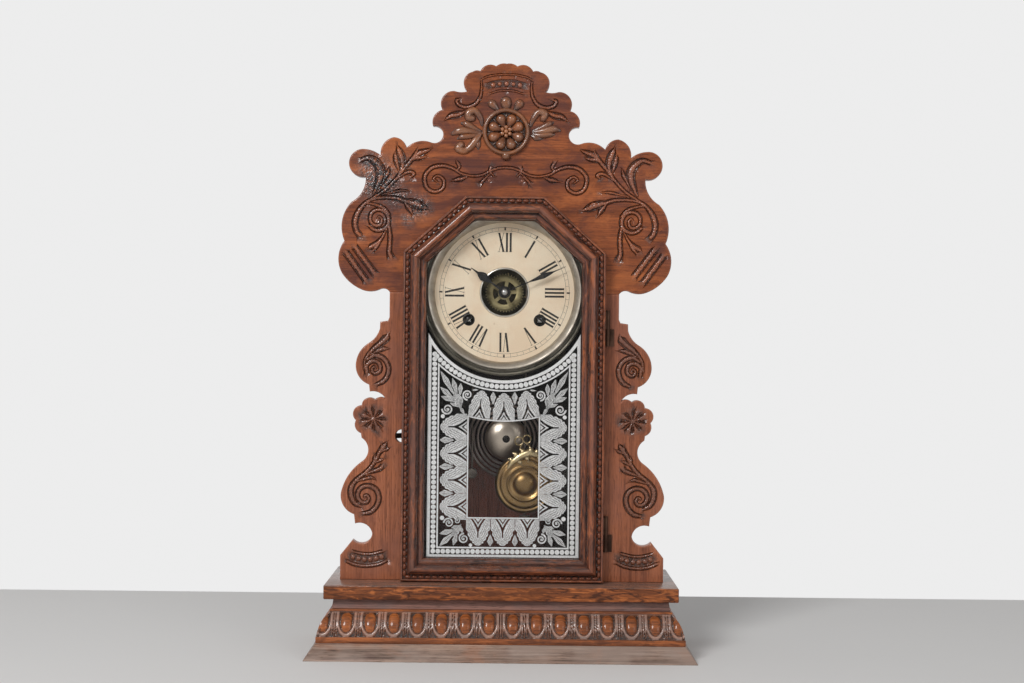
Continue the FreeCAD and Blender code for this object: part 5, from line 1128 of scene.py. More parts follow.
def instance_tree(name, sizes, steps, joins):
    """Geometry nodes that set one small form at each point: sizes to be given, nodes, and links.

    Every tree takes a path and a finish, and ends with its copies made real in that finish.
    """
    tree = bpy.data.node_groups.new(name, "GeometryNodeTree")
    for label, kind, way in (("Path", "Geometry", "INPUT"),
                             *((size, "Float", "INPUT") for size in sizes.split()),
                             ("Finish", "Material", "INPUT"), ("Grown", "Geometry", "OUTPUT")):
        tree.interface.new_socket(label, in_out=way, socket_type="NodeSocket" + kind)
    nodes = {}
    for label, kind, settings, values in (
            ("given", "NodeGroupInput", {}, {}), ("result", "NodeGroupOutput", {}, {}), *steps,
            ("size", "ShaderNodeCombineXYZ", {}, {"Y": 1.0}),
            ("place", "GeometryNodeInstanceOnPoints", {}, {}),
            ("real", "GeometryNodeRealizeInstances", {}, {}),
            ("finish", "GeometryNodeSetMaterial", {}, {})):
        node = nodes[label] = tree.nodes.new(kind)
        for key, value in settings.items():
            setattr(node, key, value)
        for key, value in values.items():
            node.inputs[key].default_value = value
    for join in joins + ("turn.Rotation place.Rotation", "place.Instances real.Geometry",
                         "real.Geometry finish.Geometry", "given.Finish finish.Material",
                         "finish.Geometry result.Grown"):
        (source, out), (target, into) = (end.split(".") for end in join.split())
        tree.links.new(nodes[source].outputs[out], nodes[target].inputs[into])
    return tree


TURN = "FunctionNodeAlignRotationToVector"
ALONG_PATH = (("curve", "GeometryNodeMeshToCurve", {}, {}),
              ("spaced", "GeometryNodeResampleCurve", {"mode": "LENGTH"}, {}),
              ("tangent", "GeometryNodeInputTangent", {}, {}))
FOLLOW_PATH = ("given.Path curve.Mesh", "curve.Curve spaced.Curve", "given.Gap spaced.Length",
               "tangent.Tangent turn.Vector", "spaced.Curve place.Points", "size.Vector place.Scale")


def grown(name, tree, lines, finish, **sizes):
    """Runs a node tree on lines given in millimetres and returns a plain mesh."""
    mesh = bpy.data.meshes.new(name + "_path")
    spots, edges = [], []
    for line in lines:
        edges += [(len(spots) + k, len(spots) + k + 1) for k in range(len(line) - 1)]
        spots += [tuple(MM * part for part in spot) for spot in line]
    mesh.from_pydata(spots, edges, [])
    host = bpy.data.objects.new(name + "_path", mesh)
    bpy.context.scene.collection.objects.link(host)
    growth = host.modifiers.new(name, "NODES")
    growth.node_group = tree
    for item in tree.interface.items_tree:
        if item.in_out == "INPUT" and item.name in sizes:
            growth[item.identifier] = sizes[item.name] * MM
        elif item.in_out == "INPUT" and item.name == "Finish":
            growth[item.identifier] = finish
    graph = bpy.context.evaluated_depsgraph_get()
    result = bpy.data.meshes.new_from_object(host.evaluated_get(graph))
    result.name = name
    bpy.data.objects.remove(host)
    result.polygons.foreach_set("use_smooth", [True] * len(result.polygons))
    return result


strung_beads = instance_tree(
    "strung_beads", "Gap Length Width",
    ALONG_PATH + (("turn", TURN, {"axis": "Z"}, {}),
                  ("bead", "GeometryNodeMeshUVSphere", {}, {"Segments": 8, "Rings": 6, "Radius": 1.0})),
    FOLLOW_PATH + ("given.Width size.X", "given.Width size.Y", "given.Length size.Z",
                   "bead.Mesh place.Instance"))


# ---------------------------------------------------------------- door

door_low, door_high = mm_box("door_stiles")
DOOR_BACK, DOOR_HALF, DOOR_FOOT, DOOR_SHOULDER = door_high.y, door_high.x, door_low.z, door_high.z
DOOR_TOP = mm_box("door_corners")[1].z
DOOR_TOP_HALF = 38.5
DOOR_EDGE = [(-DOOR_HALF, DOOR_FOOT), (DOOR_HALF, DOOR_FOOT), (DOOR_HALF, DOOR_SHOULDER),
             (DOOR_TOP_HALF, DOOR_TOP), (-DOOR_TOP_HALF, DOOR_TOP), (-DOOR_HALF, DOOR_SHOULDER)]
# Moulding: distance in from the outer edge, height above the back.
MOULDING = ((0.0, 0.0), (0.0, 11.6), (0.4, 12.8), (1.3, 13.4), (2.0, 13.2), (2.5, 12.2), (3.2, 11.4),
            (4.4, 11.2), (5.8, 11.3), (6.6, 11.8), (7.0, 13.2), (7.5, 15.4), (8.4, 17.4), (9.8, 19.0),
            (11.4, 19.8), (12.6, 20.0), (13.8, 19.7), (15.0, 18.6), (15.9, 16.9), (16.4, 15.0),
            (16.6, 13.2), (17.0, 12.4), (17.8, 12.6), (18.8, 12.8), (20.2, 12.4), (21.4, 11.4),
            (22.2, 10.2), (22.5, 9.2), (22.5, 6.0), (19.1, 6.0), (19.1, 0.0))
MITRE_GAP = 0.10
# How far each length's grain is moved on from the last one's, along and across, in metres.
GRAIN_ALONG, GRAIN_ACROSS = 0.37, 0.11
BEAD_LINE, BEAD_HIGH, BEAD_END = 4.3, 11.6, 3.4


def mitre_steps(corners):
    """For each corner, the step that moves both its edges in by one millimetre."""
    steps = []
    for index, here in enumerate(corners):
        before, after = Vector(corners[index - 1]), Vector(corners[(index + 1) % len(corners)])
        here = Vector(here)
        first = (here - before).normalized()
        second = (after - here).normalized()
        left = Vector((-first.y, first.x)) + Vector((-second.y, second.x))
        steps.append(left / (1 + first.dot(second)))
    return steps


DOOR_STEPS = mitre_steps(DOOR_EDGE)


def door_point(corner, inset):
    return Vector(DOOR_EDGE[corner]) + DOOR_STEPS[corner] * inset


def moulding_darkening(member, inset):
    """Painted shade and dirt in the grooves; darker also on the foot rail's inner slope, and on the top
    rail and left stile.
    """
    if 2.4 < inset < 7.2 or 16.2 < inset < 17.4:
        return 0.9
    if member == 0 and inset > 12.0:
        return 0.7
    return 0.4 if member in (3, 5) else 0.1


def make_door_members(node, *members):
    """Moulded lengths of the door frame between their mitres; the grain follows each length."""
    work = bmesh.new()
    grain = work.loops.layers.uv.new("grain")
    low_layer, wear_highlight_layer = float_layers(work, "recess", "rub")
    for member in members:
        nxt = (member + 1) % len(DOOR_EDGE)
        along = (Vector(DOOR_EDGE[nxt]) - Vector(DOOR_EDGE[member])).normalized()
        ends = []
        for corner, hand in ((member, 1), (nxt, -1)):
            line = []
            for inset, rise in MOULDING:
                spot = door_point(corner, inset) + along * hand * MITRE_GAP
                vert = work.verts.new((spot.x, DOOR_BACK - rise, spot.y))
                vert[low_layer] = moulding_darkening(member, inset)
                # The round's crown and the fillets beside it are lightened, for wear and as painted
                # highlight.
                vert[wear_highlight_layer] = 0.5 if rise > 19.0 or 0.2 < inset < 2.2 or 18.0 < inset < 19.5 else 0.0
                line.append(vert)
            ends.append(line)
        count = len(MOULDING)
        length = np.concatenate([[0], np.cumsum([math.dist(a, b) for a, b in zip(MOULDING, MOULDING[1:])])])
        for k in range(count):
            other = (k + 1) % count
            face = work.faces.new((ends[0][k], ends[1][k], ends[1][other], ends[0][other]))
            for loop, place in zip(face.loops, (k, k, other, other)):
                run = along.dot(Vector((loop.vert.co.x, loop.vert.co.z)))
                loop[grain].uv = (run * MM + GRAIN_ALONG * member,
                                  length[place] * MM + GRAIN_ACROSS * member)
        work.faces.new(ends[0])
        work.faces.new(ends[1][::-1])
    made_piece(node + "_moulded", work, 28.0, door_oak, "door", "oak_door", node, merge=TIGHT_WELD)


make_door_members("door_rails", 0, 3)
make_door_members("door_stiles", 1, 5)
make_door_members("door_corners", 2, 4)
bead_lines = []
for member in range(len(DOOR_EDGE)):
    first = door_point(member, BEAD_LINE)
    last = door_point((member + 1) % len(DOOR_EDGE), BEAD_LINE)
    run = (last - first).normalized()
    bead_lines.append([(spot.x, DOOR_BACK - BEAD_HIGH, spot.y)
                       for spot in (first + run * BEAD_END, last - run * BEAD_END)])
door_beads = grown("door_bead_rows", strung_beads, bead_lines, door_oak, Gap=6.4, Length=3.15, Width=2.0)
piece("door_bead_rows", door_beads, None, "door", "oak_door")


# ---------------------------------------------------------------- flat printed forms

def add_strip(work, first, second, front, back, closed=False):
    """A flat strip between two lines of equal count, given as x and z, standing between two depths."""
    count = len(first)
    near_a, near_b, far_a, far_b = [[work.verts.new((x, y, z)) for x, z in line]
                                    for y in (front, back) for line in (first, second)]
    for k in range(count if closed else count - 1):
        after = (k + 1) % count
        for one, two in ((near_a, near_b), (near_b, far_b), (far_b, far_a), (far_a, near_a)):
            work.faces.new((one[k], one[after], two[after], two[k]))
    if not closed:
        for end in (0, -1):
            work.faces.new((near_a[end], near_b[end], far_b[end], far_a[end]))


def round_line(centre, radius, steps):
    return [polar(centre, radius, 360 * k / steps) for k in range(steps)]


def add_pierced(work, loops, front, back):
    """A plate with holes: closed lines of x and z, the first one outside."""
    for y in (front, back):
        edges = []
        for loop in loops:
            spots = [work.verts.new((x, y, z)) for x, z in loop]
            edges += [work.edges.new((spots[k - 1], spots[k])) for k in range(len(spots))]
        bmesh.ops.triangle_fill(work, edges=edges, use_beauty=True)
    for loop in loops:
        add_wall(work, loop, front, back)


def add_wall(work, loop, front, back):
    near = [work.verts.new((x, front, z)) for x, z in loop]
    far = [work.verts.new((x, back, z)) for x, z in loop]
    for k in range(len(loop)):
        work.faces.new((near[k - 1], near[k], far[k], far[k - 1]))


# ---------------------------------------------------------------- dial

dial_low, dial_high = mm_box("dial_pan")
DIAL = mm_middle(dial_low, dial_high)
DIAL_FRONT, DIAL_BACK = dial_low.y, dial_high.y
BEZEL_OUT = mm_box("dial_bezel")[1].x
BEZEL_TOP = mm_box("dial_bezel")[0].y
PAN_RADIUS = dial_high.x
EYE, WINDING_HOLE = 22.9, 5.6
WINDING = [(hand * 35.2, DIAL[1] - 27.4) for hand in (-1, 1)]
INK_FRONT, INK_BACK = DIAL_FRONT - 0.09, DIAL_FRONT - 0.02
PAPER_EDGE = 70.2

dial_holes = [round_line(DIAL, EYE, 72)] + [round_line(spot, WINDING_HOLE, 32) for spot in WINDING]
work = bmesh.new()
add_pierced(work, [round_line(DIAL, PAPER_EDGE, 120)] + dial_holes, DIAL_FRONT, DIAL_FRONT + 0.35)
made_piece("dial_paper_disc", work, 30.0, dial_paper, "case", "dial_paper", "dial_pan")
work = bmesh.new()
add_pierced(work, [round_line(DIAL, PAN_RADIUS, 120)] + dial_holes, DIAL_FRONT + 0.38, DIAL_BACK)
pan_rim = [(79.0, -0.6), (79.6, -2.0), (81.0, -2.5), (82.4, -2.2), (PAN_RADIUS, -1.0), (PAN_RADIUS, 0.3),
           (79.0, 0.3)]
add_turned(work, pan_rim, DIAL, 120, True, base=DIAL_FRONT)
made_piece("dial_pan_tin", work, 30.0, tin, "case", "nickel", "dial_pan")

bezel_rows = ((69.0, 0.0), (69.1, 0.16), (69.6, 0.34), (70.6, 0.52), (71.8, 0.68), (73.0, 0.82),
              (74.1, 0.93), (75.0, 0.99), (75.7, 1.0), (76.2, 0.96), (BEZEL_OUT, 0.86), (BEZEL_OUT, 0.0))
turned_piece("dial_bezel_turned", bezel_rows, DIAL, 144, 40.0, nickel, "case", "nickel", "dial_bezel",
             hollow=True, base=DIAL_FRONT, high=BEZEL_TOP - DIAL_FRONT)

RING_HIGH = 1.2
ring_rows = ((22.9, 0.0), (22.95, 0.6), (23.3, 1.0), (23.8, 1.0), (24.5, 0.55), (24.9, 0.15), (24.9, 0.0))
turned_piece("dial_eye_ring", ring_rows, DIAL, 96, 40.0, ring_nickel, "case", "nickel", "dial_rings",
             hollow=True, base=DIAL_FRONT, high=-RING_HIGH)
rim_rows = ((4.7, 0.6), (4.7, -0.3), (5.0, -0.6), (5.5, -0.6), (5.95, -0.35), (6.0, 0.0), (5.58, 0.0),
            (5.58, 0.6))
work = bmesh.new()
for spot in WINDING:
    add_turned(work, rim_rows, spot, 40, True, base=DIAL_FRONT)
made_piece("winding_hole_rims", work, 40.0, iron, "case", "nickel", "dial_rings")

# The hour wheel's broad rim and hub, on the face of its disc.
WHEEL_RIM_IN, WHEEL_RIM_OUT, WHEEL_HUB_IN, WHEEL_HUB, WHEEL_FACE = 11.8, 17.8, 4.6, 6.6, 0.5
wheel_face = min(vert.co.y for vert in node_work("hour_wheel").verts
                 if math.hypot(vert.co.x - DIAL[0], vert.co.z - DIAL[1]) > WHEEL_RIM_OUT)
work = bmesh.new()
for inner, outer in ((WHEEL_RIM_IN, WHEEL_RIM_OUT), (WHEEL_HUB_IN, WHEEL_HUB)):
    rim_rows = ((inner, 0.2), (inner, -0.3), (inner + 0.4, -WHEEL_FACE), (outer - 0.5, -WHEEL_FACE),
                (outer, -0.2), (outer, 0.2))
    add_turned(work, rim_rows, DIAL, 72, True, base=wheel_face)
made_piece("hour_wheel_face", work, 40.0, wheel_brass, "hour_hand_body", "brass")
cap_rows = ((0.0, -1.1), (0.9, -1.0), (1.6, -0.7), (2.1, -0.2), (2.2, 0.4), (0.0, 0.4))
for node, body in (("time_winding_arbor", "time_winder"), ("strike_winding_arbor", "strike_winder")):
    arbor_low, arbor_high = mm_box(node)
    middle = mm_middle(arbor_low, arbor_high)[0]
    spot = min(WINDING, key=lambda place: abs(place[0] - middle))
    turned_piece(node + "_end", cap_rows, spot, 24, 60.0, ring_nickel, body, "steel", base=arbor_low.y)

NUMERALS = ("XII", "I", "II", "III", "IIII", "V", "VI", "VII", "VIII", "IX", "X", "XI")
NUMERAL_IN, NUMERAL_OUT = 40.2, 58.9
TRACK_LINES, TRACK_HALF = (60.9, 64.3), 0.13
BAR, HAIR, SERIF = 0.98, 0.21, 0.17
LETTER_WIDE = {"I": 3.7, "V": 7.2, "X": 7.4}


def numeral_strokes(word):
    """Strokes of a numeral: ends as millimetres across and share of the height, then half width."""
    pitch = 3.45 if word == "IIII" else LETTER_WIDE["I"]
    wide = sum(pitch if letter == "I" else LETTER_WIDE[letter] for letter in word)
    place = -wide / 2
    strokes = []
    for letter in word:
        if letter == "I":
            x = place + pitch / 2
            strokes.append((x, 1.0, x, 0.0, BAR))
            serifs = ((x, 1.0, 1.45), (x, 0.0, 1.45))
            place += pitch
        else:
            half = LETTER_WIDE[letter] / 2
            x = place + half
            if letter == "V":
                strokes.append((x - half + 1.5, 1.0, x + 0.2, 0.0, BAR))
                strokes.append((x + half - 1.3, 1.0, x + 0.5, 0.0, HAIR))
                serifs = ((x - half + 1.5, 1.0, 1.7), (x + half - 1.3, 1.0, 1.1))
            else:
                strokes.append((x - half + 1.5, 1.0, x + half - 1.5, 0.0, BAR))
                strokes.append((x + half - 1.4, 1.0, x - half + 1.4, 0.0, HAIR))
                serifs = ((x - half + 1.5, 1.0, 1.7), (x + half - 1.4, 1.0, 1.2),
                          (x - half + 1.4, 0.0, 1.2), (x + half - 1.5, 0.0, 1.7))
            place += LETTER_WIDE[letter]
        for middle, level, reach in serifs:
            strokes.append((middle - reach, level, middle + reach, level, SERIF))
    return strokes


def make_dial_print():
    work = bmesh.new()
    for hour, word in enumerate(NUMERALS):
        turn = math.radians(30 * hour)
        right = Vector((math.cos(turn), -math.sin(turn)))
        up = Vector((math.sin(turn), math.cos(turn)))
        for x0, level0, x1, level1, half in numeral_strokes(word):
            ends = [right * x + up * (NUMERAL_IN + level * (NUMERAL_OUT - NUMERAL_IN)) + Vector(DIAL)
                    for x, level in ((x0, level0), (x1, level1))]
            aside = right if level0 != level1 else up
            add_strip(work, [end - aside * half for end in ends], [end + aside * half for end in ends],
                      INK_FRONT, INK_BACK)
    for radius in TRACK_LINES:
        inner, outer = (round_line(DIAL, radius + half, 144) for half in (-TRACK_HALF, TRACK_HALF))
        add_strip(work, inner, outer, INK_FRONT + 0.01, INK_BACK, True)
    made_piece("dial_print", work, 30.0, print_ink, "case", "hand_black", merge=FINE_WELD)


ink_middle = (INK_FRONT + INK_BACK) / 2
HOUR_MARK_LIFT = 0.012
ring_marks = instance_tree(
    "ring_marks", "Length Width Thickness",
    (("where", "GeometryNodeInputPosition", {}, {}), ("turn", TURN, {"axis": "Z", "pivot_axis": "Y"}, {}),
     ("middle", "ShaderNodeVectorMath", {"operation": "SUBTRACT"},
      {1: (DIAL[0] * MM, ink_middle * MM, DIAL[1] * MM)}),
     ("mark", "GeometryNodeMeshCube", {}, {})),
    ("given.Path place.Points", "where.Position middle.Vector", "middle.Vector turn.Vector",
     "given.Width size.X", "given.Thickness size.Y", "given.Length size.Z", "size.Vector mark.Size",
     "mark.Mesh place.Instance"))
make_dial_print()
for name, count, radius, long, wide in (("minute_marks", 60, 62.6, 3.2, 0.20),
                                        ("hour_marks", 12, 63.2, 3.0, 1.5)):
    depth = ink_middle - (HOUR_MARK_LIFT if name == "hour_marks" else 0.0)
    spots = [(x, depth, z) for x, z in round_line(DIAL, radius, count)]
    piece(name, grown(name, ring_marks, [[spot] for spot in spots], print_ink, Length=long, Width=wide,
                      Thickness=INK_BACK - INK_FRONT), None, "case", "hand_black")


# ---------------------------------------------------------------- stencil on the glass

PANE_BACK = mm_box("door_glass")[1].y
PAINT_FRONT, PAINT_BACK = PANE_BACK + 0.03, PANE_BACK + 0.13
STENCIL_X = 0.6
STENCIL_HALF, STENCIL_FOOT, STENCIL_BAND, STENCIL_FOOT_BAND = 74.6, 93.2, 3.1, 2.7
ARC_MIDDLE, ARC_RADIUS = (0.0, 350.6), 83.5
ARC_BAND, ARC_DOTS, ARC_LINE, LINE_WIDE = 3.0, 6.2, 9.5, 1.5
FIELD_HALF, FIELD_FOOT = 65.0, 102.0
WINDOW_HALF, WINDOW_FOOT, WINDOW_TOP, WINDOW_SAG = 34.4, 132.6, 231.0, 4.4
WINDOW_LINE, TONGUE_GAP = 1.3, 1.6
DOT_GAP, DOT_ALONG, DOT_ACROSS = 4.75, 2.34, 2.5


def arc_height(x, radius):
    return ARC_MIDDLE[1] - math.sqrt(radius ** 2 - x ** 2)


def arc_line(half, radius, steps=48):
    return [(x, arc_height(x, radius)) for x in np.linspace(-half, half, steps)]


def bulged(start, end, rise, steps):
    """Points from start towards end along a bow that stands out to the right."""
    run = Vector(end) - Vector(start)
    aside = Vector((run.y, -run.x)).normalized()
    return [tuple(Vector(start) + run * share + aside * rise * math.sin(math.pi * share))
            for share in np.arange(steps) / steps]


TONGUE_CUSPS = ((13.1, 0.0), (12.9, 7.4), (10.7, 13.0), (9.1, 18.6), (5.9, 22.4), (3.9, 24.7))
TONGUE_LONG, SPEAR_LONG, SPEAR_HALF, SPEAR_TIP = 27.0, 19.8, 8.4, 0.75
CUSP_RISE, CUSP_STEPS = 1.25, 6
TONGUE_BANDS = ((0.00, 0.14), (0.18, 0.33), (0.37, 0.52), (0.56, 0.71), (0.75, 1.00))
SPEAR_BANDS, SPEAR_POINTS, SPEAR_CURVE = ((2.5, 4.1), (5.6, 8.0)), 23, 2.1


def tongue_outline():
    half = []
    for start, end in zip(TONGUE_CUSPS, TONGUE_CUSPS[1:]):
        rise = 0.0 if start[1] == 0.0 else CUSP_RISE
        half += bulged(start, end, rise, CUSP_STEPS)
    last = TONGUE_CUSPS[-1]
    tip = [(last[0] * math.cos(a), last[1] + (TONGUE_LONG - last[1]) * math.sin(a))
           for a in np.linspace(0, math.pi / 2, CUSP_STEPS)]
    half += tip
    return half + [(-s, t) for s, t in half[-2::-1]]


def spear_half(height):
    bow = SPEAR_HALF * max(1 - height / SPEAR_LONG, 0.0) ** SPEAR_CURVE
    return max(bow, SPEAR_TIP * min(1.0, (SPEAR_LONG - height) / 1.5))


def spear_outline(count, trim=0.0):
    """The pointed arch inside a tongue, in as many points as the tongue's outline."""
    reach = SPEAR_LONG * (1 - (trim / SPEAR_HALF) ** (1 / SPEAR_CURVE))
    half = (count + 1) // 2
    rows = [(max(spear_half(t) - trim, 0.0), t) for t in reach * np.linspace(0, 1, half) ** 1.2]
    return rows + [(-s, t) for s, t in rows[-2::-1]]


def add_tongue(work, root, lean, narrow=1.0, long=1.0):
    """A scalloped tongue in nested bands round a dark spear; lean is clockwise from upright."""
    turn = math.radians(lean)
    right = Vector((math.cos(turn), -math.sin(turn)))
    up = Vector((math.sin(turn), math.cos(turn)))

    def placed(line):
        return [tuple(Vector(root) + right * s * narrow + up * t * long) for s, t in line]

    outer = tongue_outline()
    inner = spear_outline(len(outer))
    for start, end in TONGUE_BANDS:
        lines = [[(p[0] + (q[0] - p[0]) * share, p[1] + (q[1] - p[1]) * share)
                  for p, q in zip(outer, inner)] for share in (start, end)]
        add_strip(work, placed(lines[0]), placed(lines[1]), PAINT_FRONT, PAINT_BACK)
    for start, end in SPEAR_BANDS:
        add_strip(work, placed(spear_outline(SPEAR_POINTS, start)),
                  placed(spear_outline(SPEAR_POINTS, end)), PAINT_FRONT, PAINT_BACK)


LEAF_BANDS = ((0.10, 0.46), (0.58, 1.0))
LEAF_SHARES, LEAF_WIDEST = (0.0, 0.12, 0.25, 0.38, 0.5, 0.62, 0.72, 0.82, 0.92, 1.0), 0.62


def add_pointed_leaf(work, root, tip, half, bands=LEAF_BANDS):
    """A pointed leaf with a dark rib and dark veins."""
    root, tip = Vector(root), Vector(tip)
    run = tip - root
    aside = Vector((-run.y, run.x)).normalized()
    bows = [min(share / LEAF_WIDEST, (1 - share) / (1 - LEAF_WIDEST)) ** 0.85 for share in LEAF_SHARES]
    for hand in (1, -1):
        for start, end in bands:
            lines = [[tuple(root + run * share + aside * hand * part * half * bow)
                      for share, bow in zip(LEAF_SHARES, bows)] for part in (start, end)]
            add_strip(work, lines[0], lines[1], PAINT_FRONT, PAINT_BACK)


# Scroll: points, share of the radius that it winds in, half width, share that the width loses, eye.
SCROLL_POINTS, SCROLL_IN, SCROLL_HALF, SCROLL_TAPER, SCROLL_EYE = 34, 0.80, 0.165, 0.45, 0.18


def add_scroll(work, middle, radius, start, turns, hand):
    """A spiral scroll that winds in to its middle."""
    lines = ([], [])
    for share in np.linspace(0, 1, SCROLL_POINTS):
        reach = radius * (1 - SCROLL_IN * share)
        half = SCROLL_HALF * radius * (1 - SCROLL_TAPER * share)
        for line, offset in zip(lines, (half, -half)):
            line.append(polar(middle, reach + offset, start + hand * 360 * turns * share))
    add_strip(work, lines[0], lines[1], PAINT_FRONT, PAINT_BACK)
    disc = round_line(middle, SCROLL_EYE * radius, 10)
    add_strip(work, disc, round_line(middle, 0.02 * radius, 10), PAINT_FRONT, PAINT_BACK, True)


# Corner leaves of the left side: root, tip, half width. Scrolls: middle, radius, start, turns, hand.
TOP_LEAVES = (((-47.7, 250.5), (-62.6, 276.2), 2.7), ((-45.5, 251.0), (-50.8, 269.0), 2.5),
              ((-43.3, 250.6), (-42.4, 264.2), 2.3), ((-48.1, 247.4), (-62.8, 260.2), 2.6),
              ((-46.6, 245.6), (-61.9, 251.0), 2.5), ((-42.6, 238.6), (-41.0, 251.0), 1.5),
              ((-42.0, 240.4), (-53.2, 244.6), 1.7), ((-32.0, 257.2), (-25.2, 257.8), 0.9),
              ((-38.2, 232.8), (-43.0, 240.6), 1.8))
TOP_SCROLLS = (((-35.7, 252.6), 5.0, 180, 1.7, 1), ((-55.4, 238.6), 5.4, -90, 1.6, -1))
FOOT_LEAVES = (((-45.7, 120.2), (-62.0, 116.0), 2.7), ((-46.4, 118.6), (-62.0, 104.0), 2.8),
               ((-44.4, 118.4), (-48.4, 104.6), 2.4), ((-42.2, 124.4), (-50.6, 121.8), 1.6),
               ((-41.4, 124.6), (-39.6, 117.0), 1.6))
FOOT_SCROLLS = (((-38.0, 111.6), 5.0, 0, 1.6, -1), ((-53.0, 126.8), 4.9, -90, 1.6, 1),
                ((-44.9, 129.0), 3.0, 0, 1.3, 1))
CORNER_BALLS = ((-59.8, 231.4, 2.0), (-31.4, 105.2, 1.7), (-59.6, 131.6, 2.2))
FANS = (((-41.6, 237.6), (-48.6, 256.0), 4.4), ((-40.6, 125.8), (-49.4, 113.6), 3.6))
FAN_BANDS = ((0.05, 0.26), (0.36, 0.58), (0.68, 1.0))
# Heights of the tongues beside the window and of the leaves between them.
SIDE_TONGUES, SIDE_LEAVES = (221.1, 195.0, 168.9, 142.8), (208.1, 182.0, 155.9)


def make_stencil():
    """The borders and lines of the stencil, then its figures, each as one piece."""
    work, figures = bmesh.new(), bmesh.new()
    half, foot, band = STENCIL_HALF, STENCIL_FOOT, STENCIL_BAND

    def flat(first, second, closed=False):
        add_strip(work, first, second, PAINT_FRONT, PAINT_BACK, closed)

    def upright(side, wide, low, radius):
        """A band up to the arc, on the inner side of the given line."""
        inner = side - math.copysign(wide, side)
        flat([(side, low), (side, arc_height(side, radius))],
             [(inner, low), (inner, arc_height(inner, radius))])

    def level(reach, low, high):
        flat([(-reach, low), (reach, low)], [(-reach, high), (reach, high)])

    flat(arc_line(half, ARC_RADIUS), arc_line(half, ARC_RADIUS + ARC_BAND))
    flat(arc_line(FIELD_HALF, ARC_RADIUS + ARC_LINE),
         arc_line(FIELD_HALF, ARC_RADIUS + ARC_LINE + LINE_WIDE))
    level(half - band, foot, foot + STENCIL_FOOT_BAND)
    level(FIELD_HALF - LINE_WIDE, FIELD_FOOT, FIELD_FOOT + LINE_WIDE)
    level(WINDOW_HALF, WINDOW_FOOT - WINDOW_LINE, WINDOW_FOOT)
    across = np.linspace(-WINDOW_HALF, WINDOW_HALF, 20)
    sag = [(x, WINDOW_TOP - WINDOW_SAG * (1 - (x / WINDOW_HALF) ** 2)) for x in across]
    flat(sag, [(x, z + WINDOW_LINE) for x, z in sag])
    for hand in (-1, 1):
        upright(hand * half, band, foot, ARC_RADIUS + ARC_BAND)
        upright(hand * FIELD_HALF, LINE_WIDE, FIELD_FOOT, ARC_RADIUS + ARC_LINE + LINE_WIDE)
        flat(*([(x, WINDOW_FOOT - WINDOW_LINE), (x, WINDOW_TOP + WINDOW_LINE)]
               for x in (hand * WINDOW_HALF, hand * (WINDOW_HALF + WINDOW_LINE))))
        for z in SIDE_TONGUES:
            add_tongue(figures, (hand * (WINDOW_HALF + TONGUE_GAP), z), 90 * hand, 0.985, 0.965)
        for z in SIDE_LEAVES:
            add_pointed_leaf(figures, (hand * 48.4, z), (hand * 62.8, z), 3.3)
        add_pointed_leaf(figures, (hand * 12.1, 116.0), (hand * 12.1, 104.2), 2.9)
        add_pointed_leaf(figures, (hand * 10.6, 243.0), (hand * 10.6, 256.0), 2.7)
        add_tongue(figures, (hand * 24.2, WINDOW_FOOT - TONGUE_GAP), 180, 0.90, 0.97)
        add_tongue(figures, (hand * 24.6, 230.4), hand * -7, 0.82, 0.985)
        for leaves, bands in ((TOP_LEAVES + FOOT_LEAVES, LEAF_BANDS), (FANS, FAN_BANDS)):
            for root, tip, wide in leaves:
                add_pointed_leaf(figures, (-hand * root[0], root[1]), (-hand * tip[0], tip[1]), wide, bands)
        for middle, radius, begin, turns, way in TOP_SCROLLS + FOOT_SCROLLS:
            add_scroll(figures, (-hand * middle[0], middle[1]), radius, -hand * begin, turns, -hand * way)
        for x, z, radius in CORNER_BALLS:
            flat(round_line((-hand * x, z), radius, 14), round_line((-hand * x, z), 0.1, 14), True)
    add_tongue(figures, (0.0, WINDOW_FOOT - TONGUE_GAP), 180, 0.90, 0.97)
    add_tongue(figures, (0.0, WINDOW_TOP - WINDOW_SAG + TONGUE_GAP), 0, 0.82, 0.975)
    for part in (work, figures):
        bmesh.ops.translate(part, vec=(STENCIL_X, 0, 0), verts=part.verts)
    for name, part, finish in (("glass_stencil", work, stencil_silver),
                               ("stencil_figures", figures, figure_silver)):
        made_piece(name, part, 30.0, finish, "door", "nickel", merge=FINE_WELD)


printed_dots = instance_tree(
    "printed_dots", "Gap Along Across Thickness",
    ALONG_PATH + (("turn", TURN, {"axis": "Z", "pivot_axis": "Y"}, {}),
                  ("disc", "GeometryNodeMeshCylinder", {}, {"Vertices": 12, "Radius": 1.0}),
                  ("facing", "GeometryNodeTransform", {}, {"Rotation": (math.pi / 2, 0.0, 0.0)})),
    FOLLOW_PATH + ("given.Across size.X", "given.Along size.Z", "given.Thickness disc.Depth",
                   "disc.Mesh facing.Geometry", "facing.Geometry place.Instance"))
make_stencil()
paint_middle = (PAINT_FRONT + PAINT_BACK) / 2
dot_side = (STENCIL_HALF - STENCIL_BAND + FIELD_HALF) / 2
dot_foot = (STENCIL_FOOT + STENCIL_FOOT_BAND + FIELD_FOOT) / 2
dot_top = arc_height(dot_side, ARC_RADIUS + ARC_DOTS)
dot_lines = [arc_line(dot_side - 2.0, ARC_RADIUS + ARC_DOTS), [(-dot_side, dot_foot), (dot_side, dot_foot)]]
dot_lines += [[(hand * dot_side, dot_foot + DOT_GAP), (hand * dot_side, dot_top)] for hand in (-1, 1)]
stencil_dots = grown("stencil_dots", printed_dots,
                     [[(x + STENCIL_X, paint_middle, z) for x, z in line] for line in dot_lines],
                     stencil_silver, Gap=DOT_GAP, Along=DOT_ALONG, Across=DOT_ACROSS,
                     Thickness=PAINT_BACK - PAINT_FRONT)
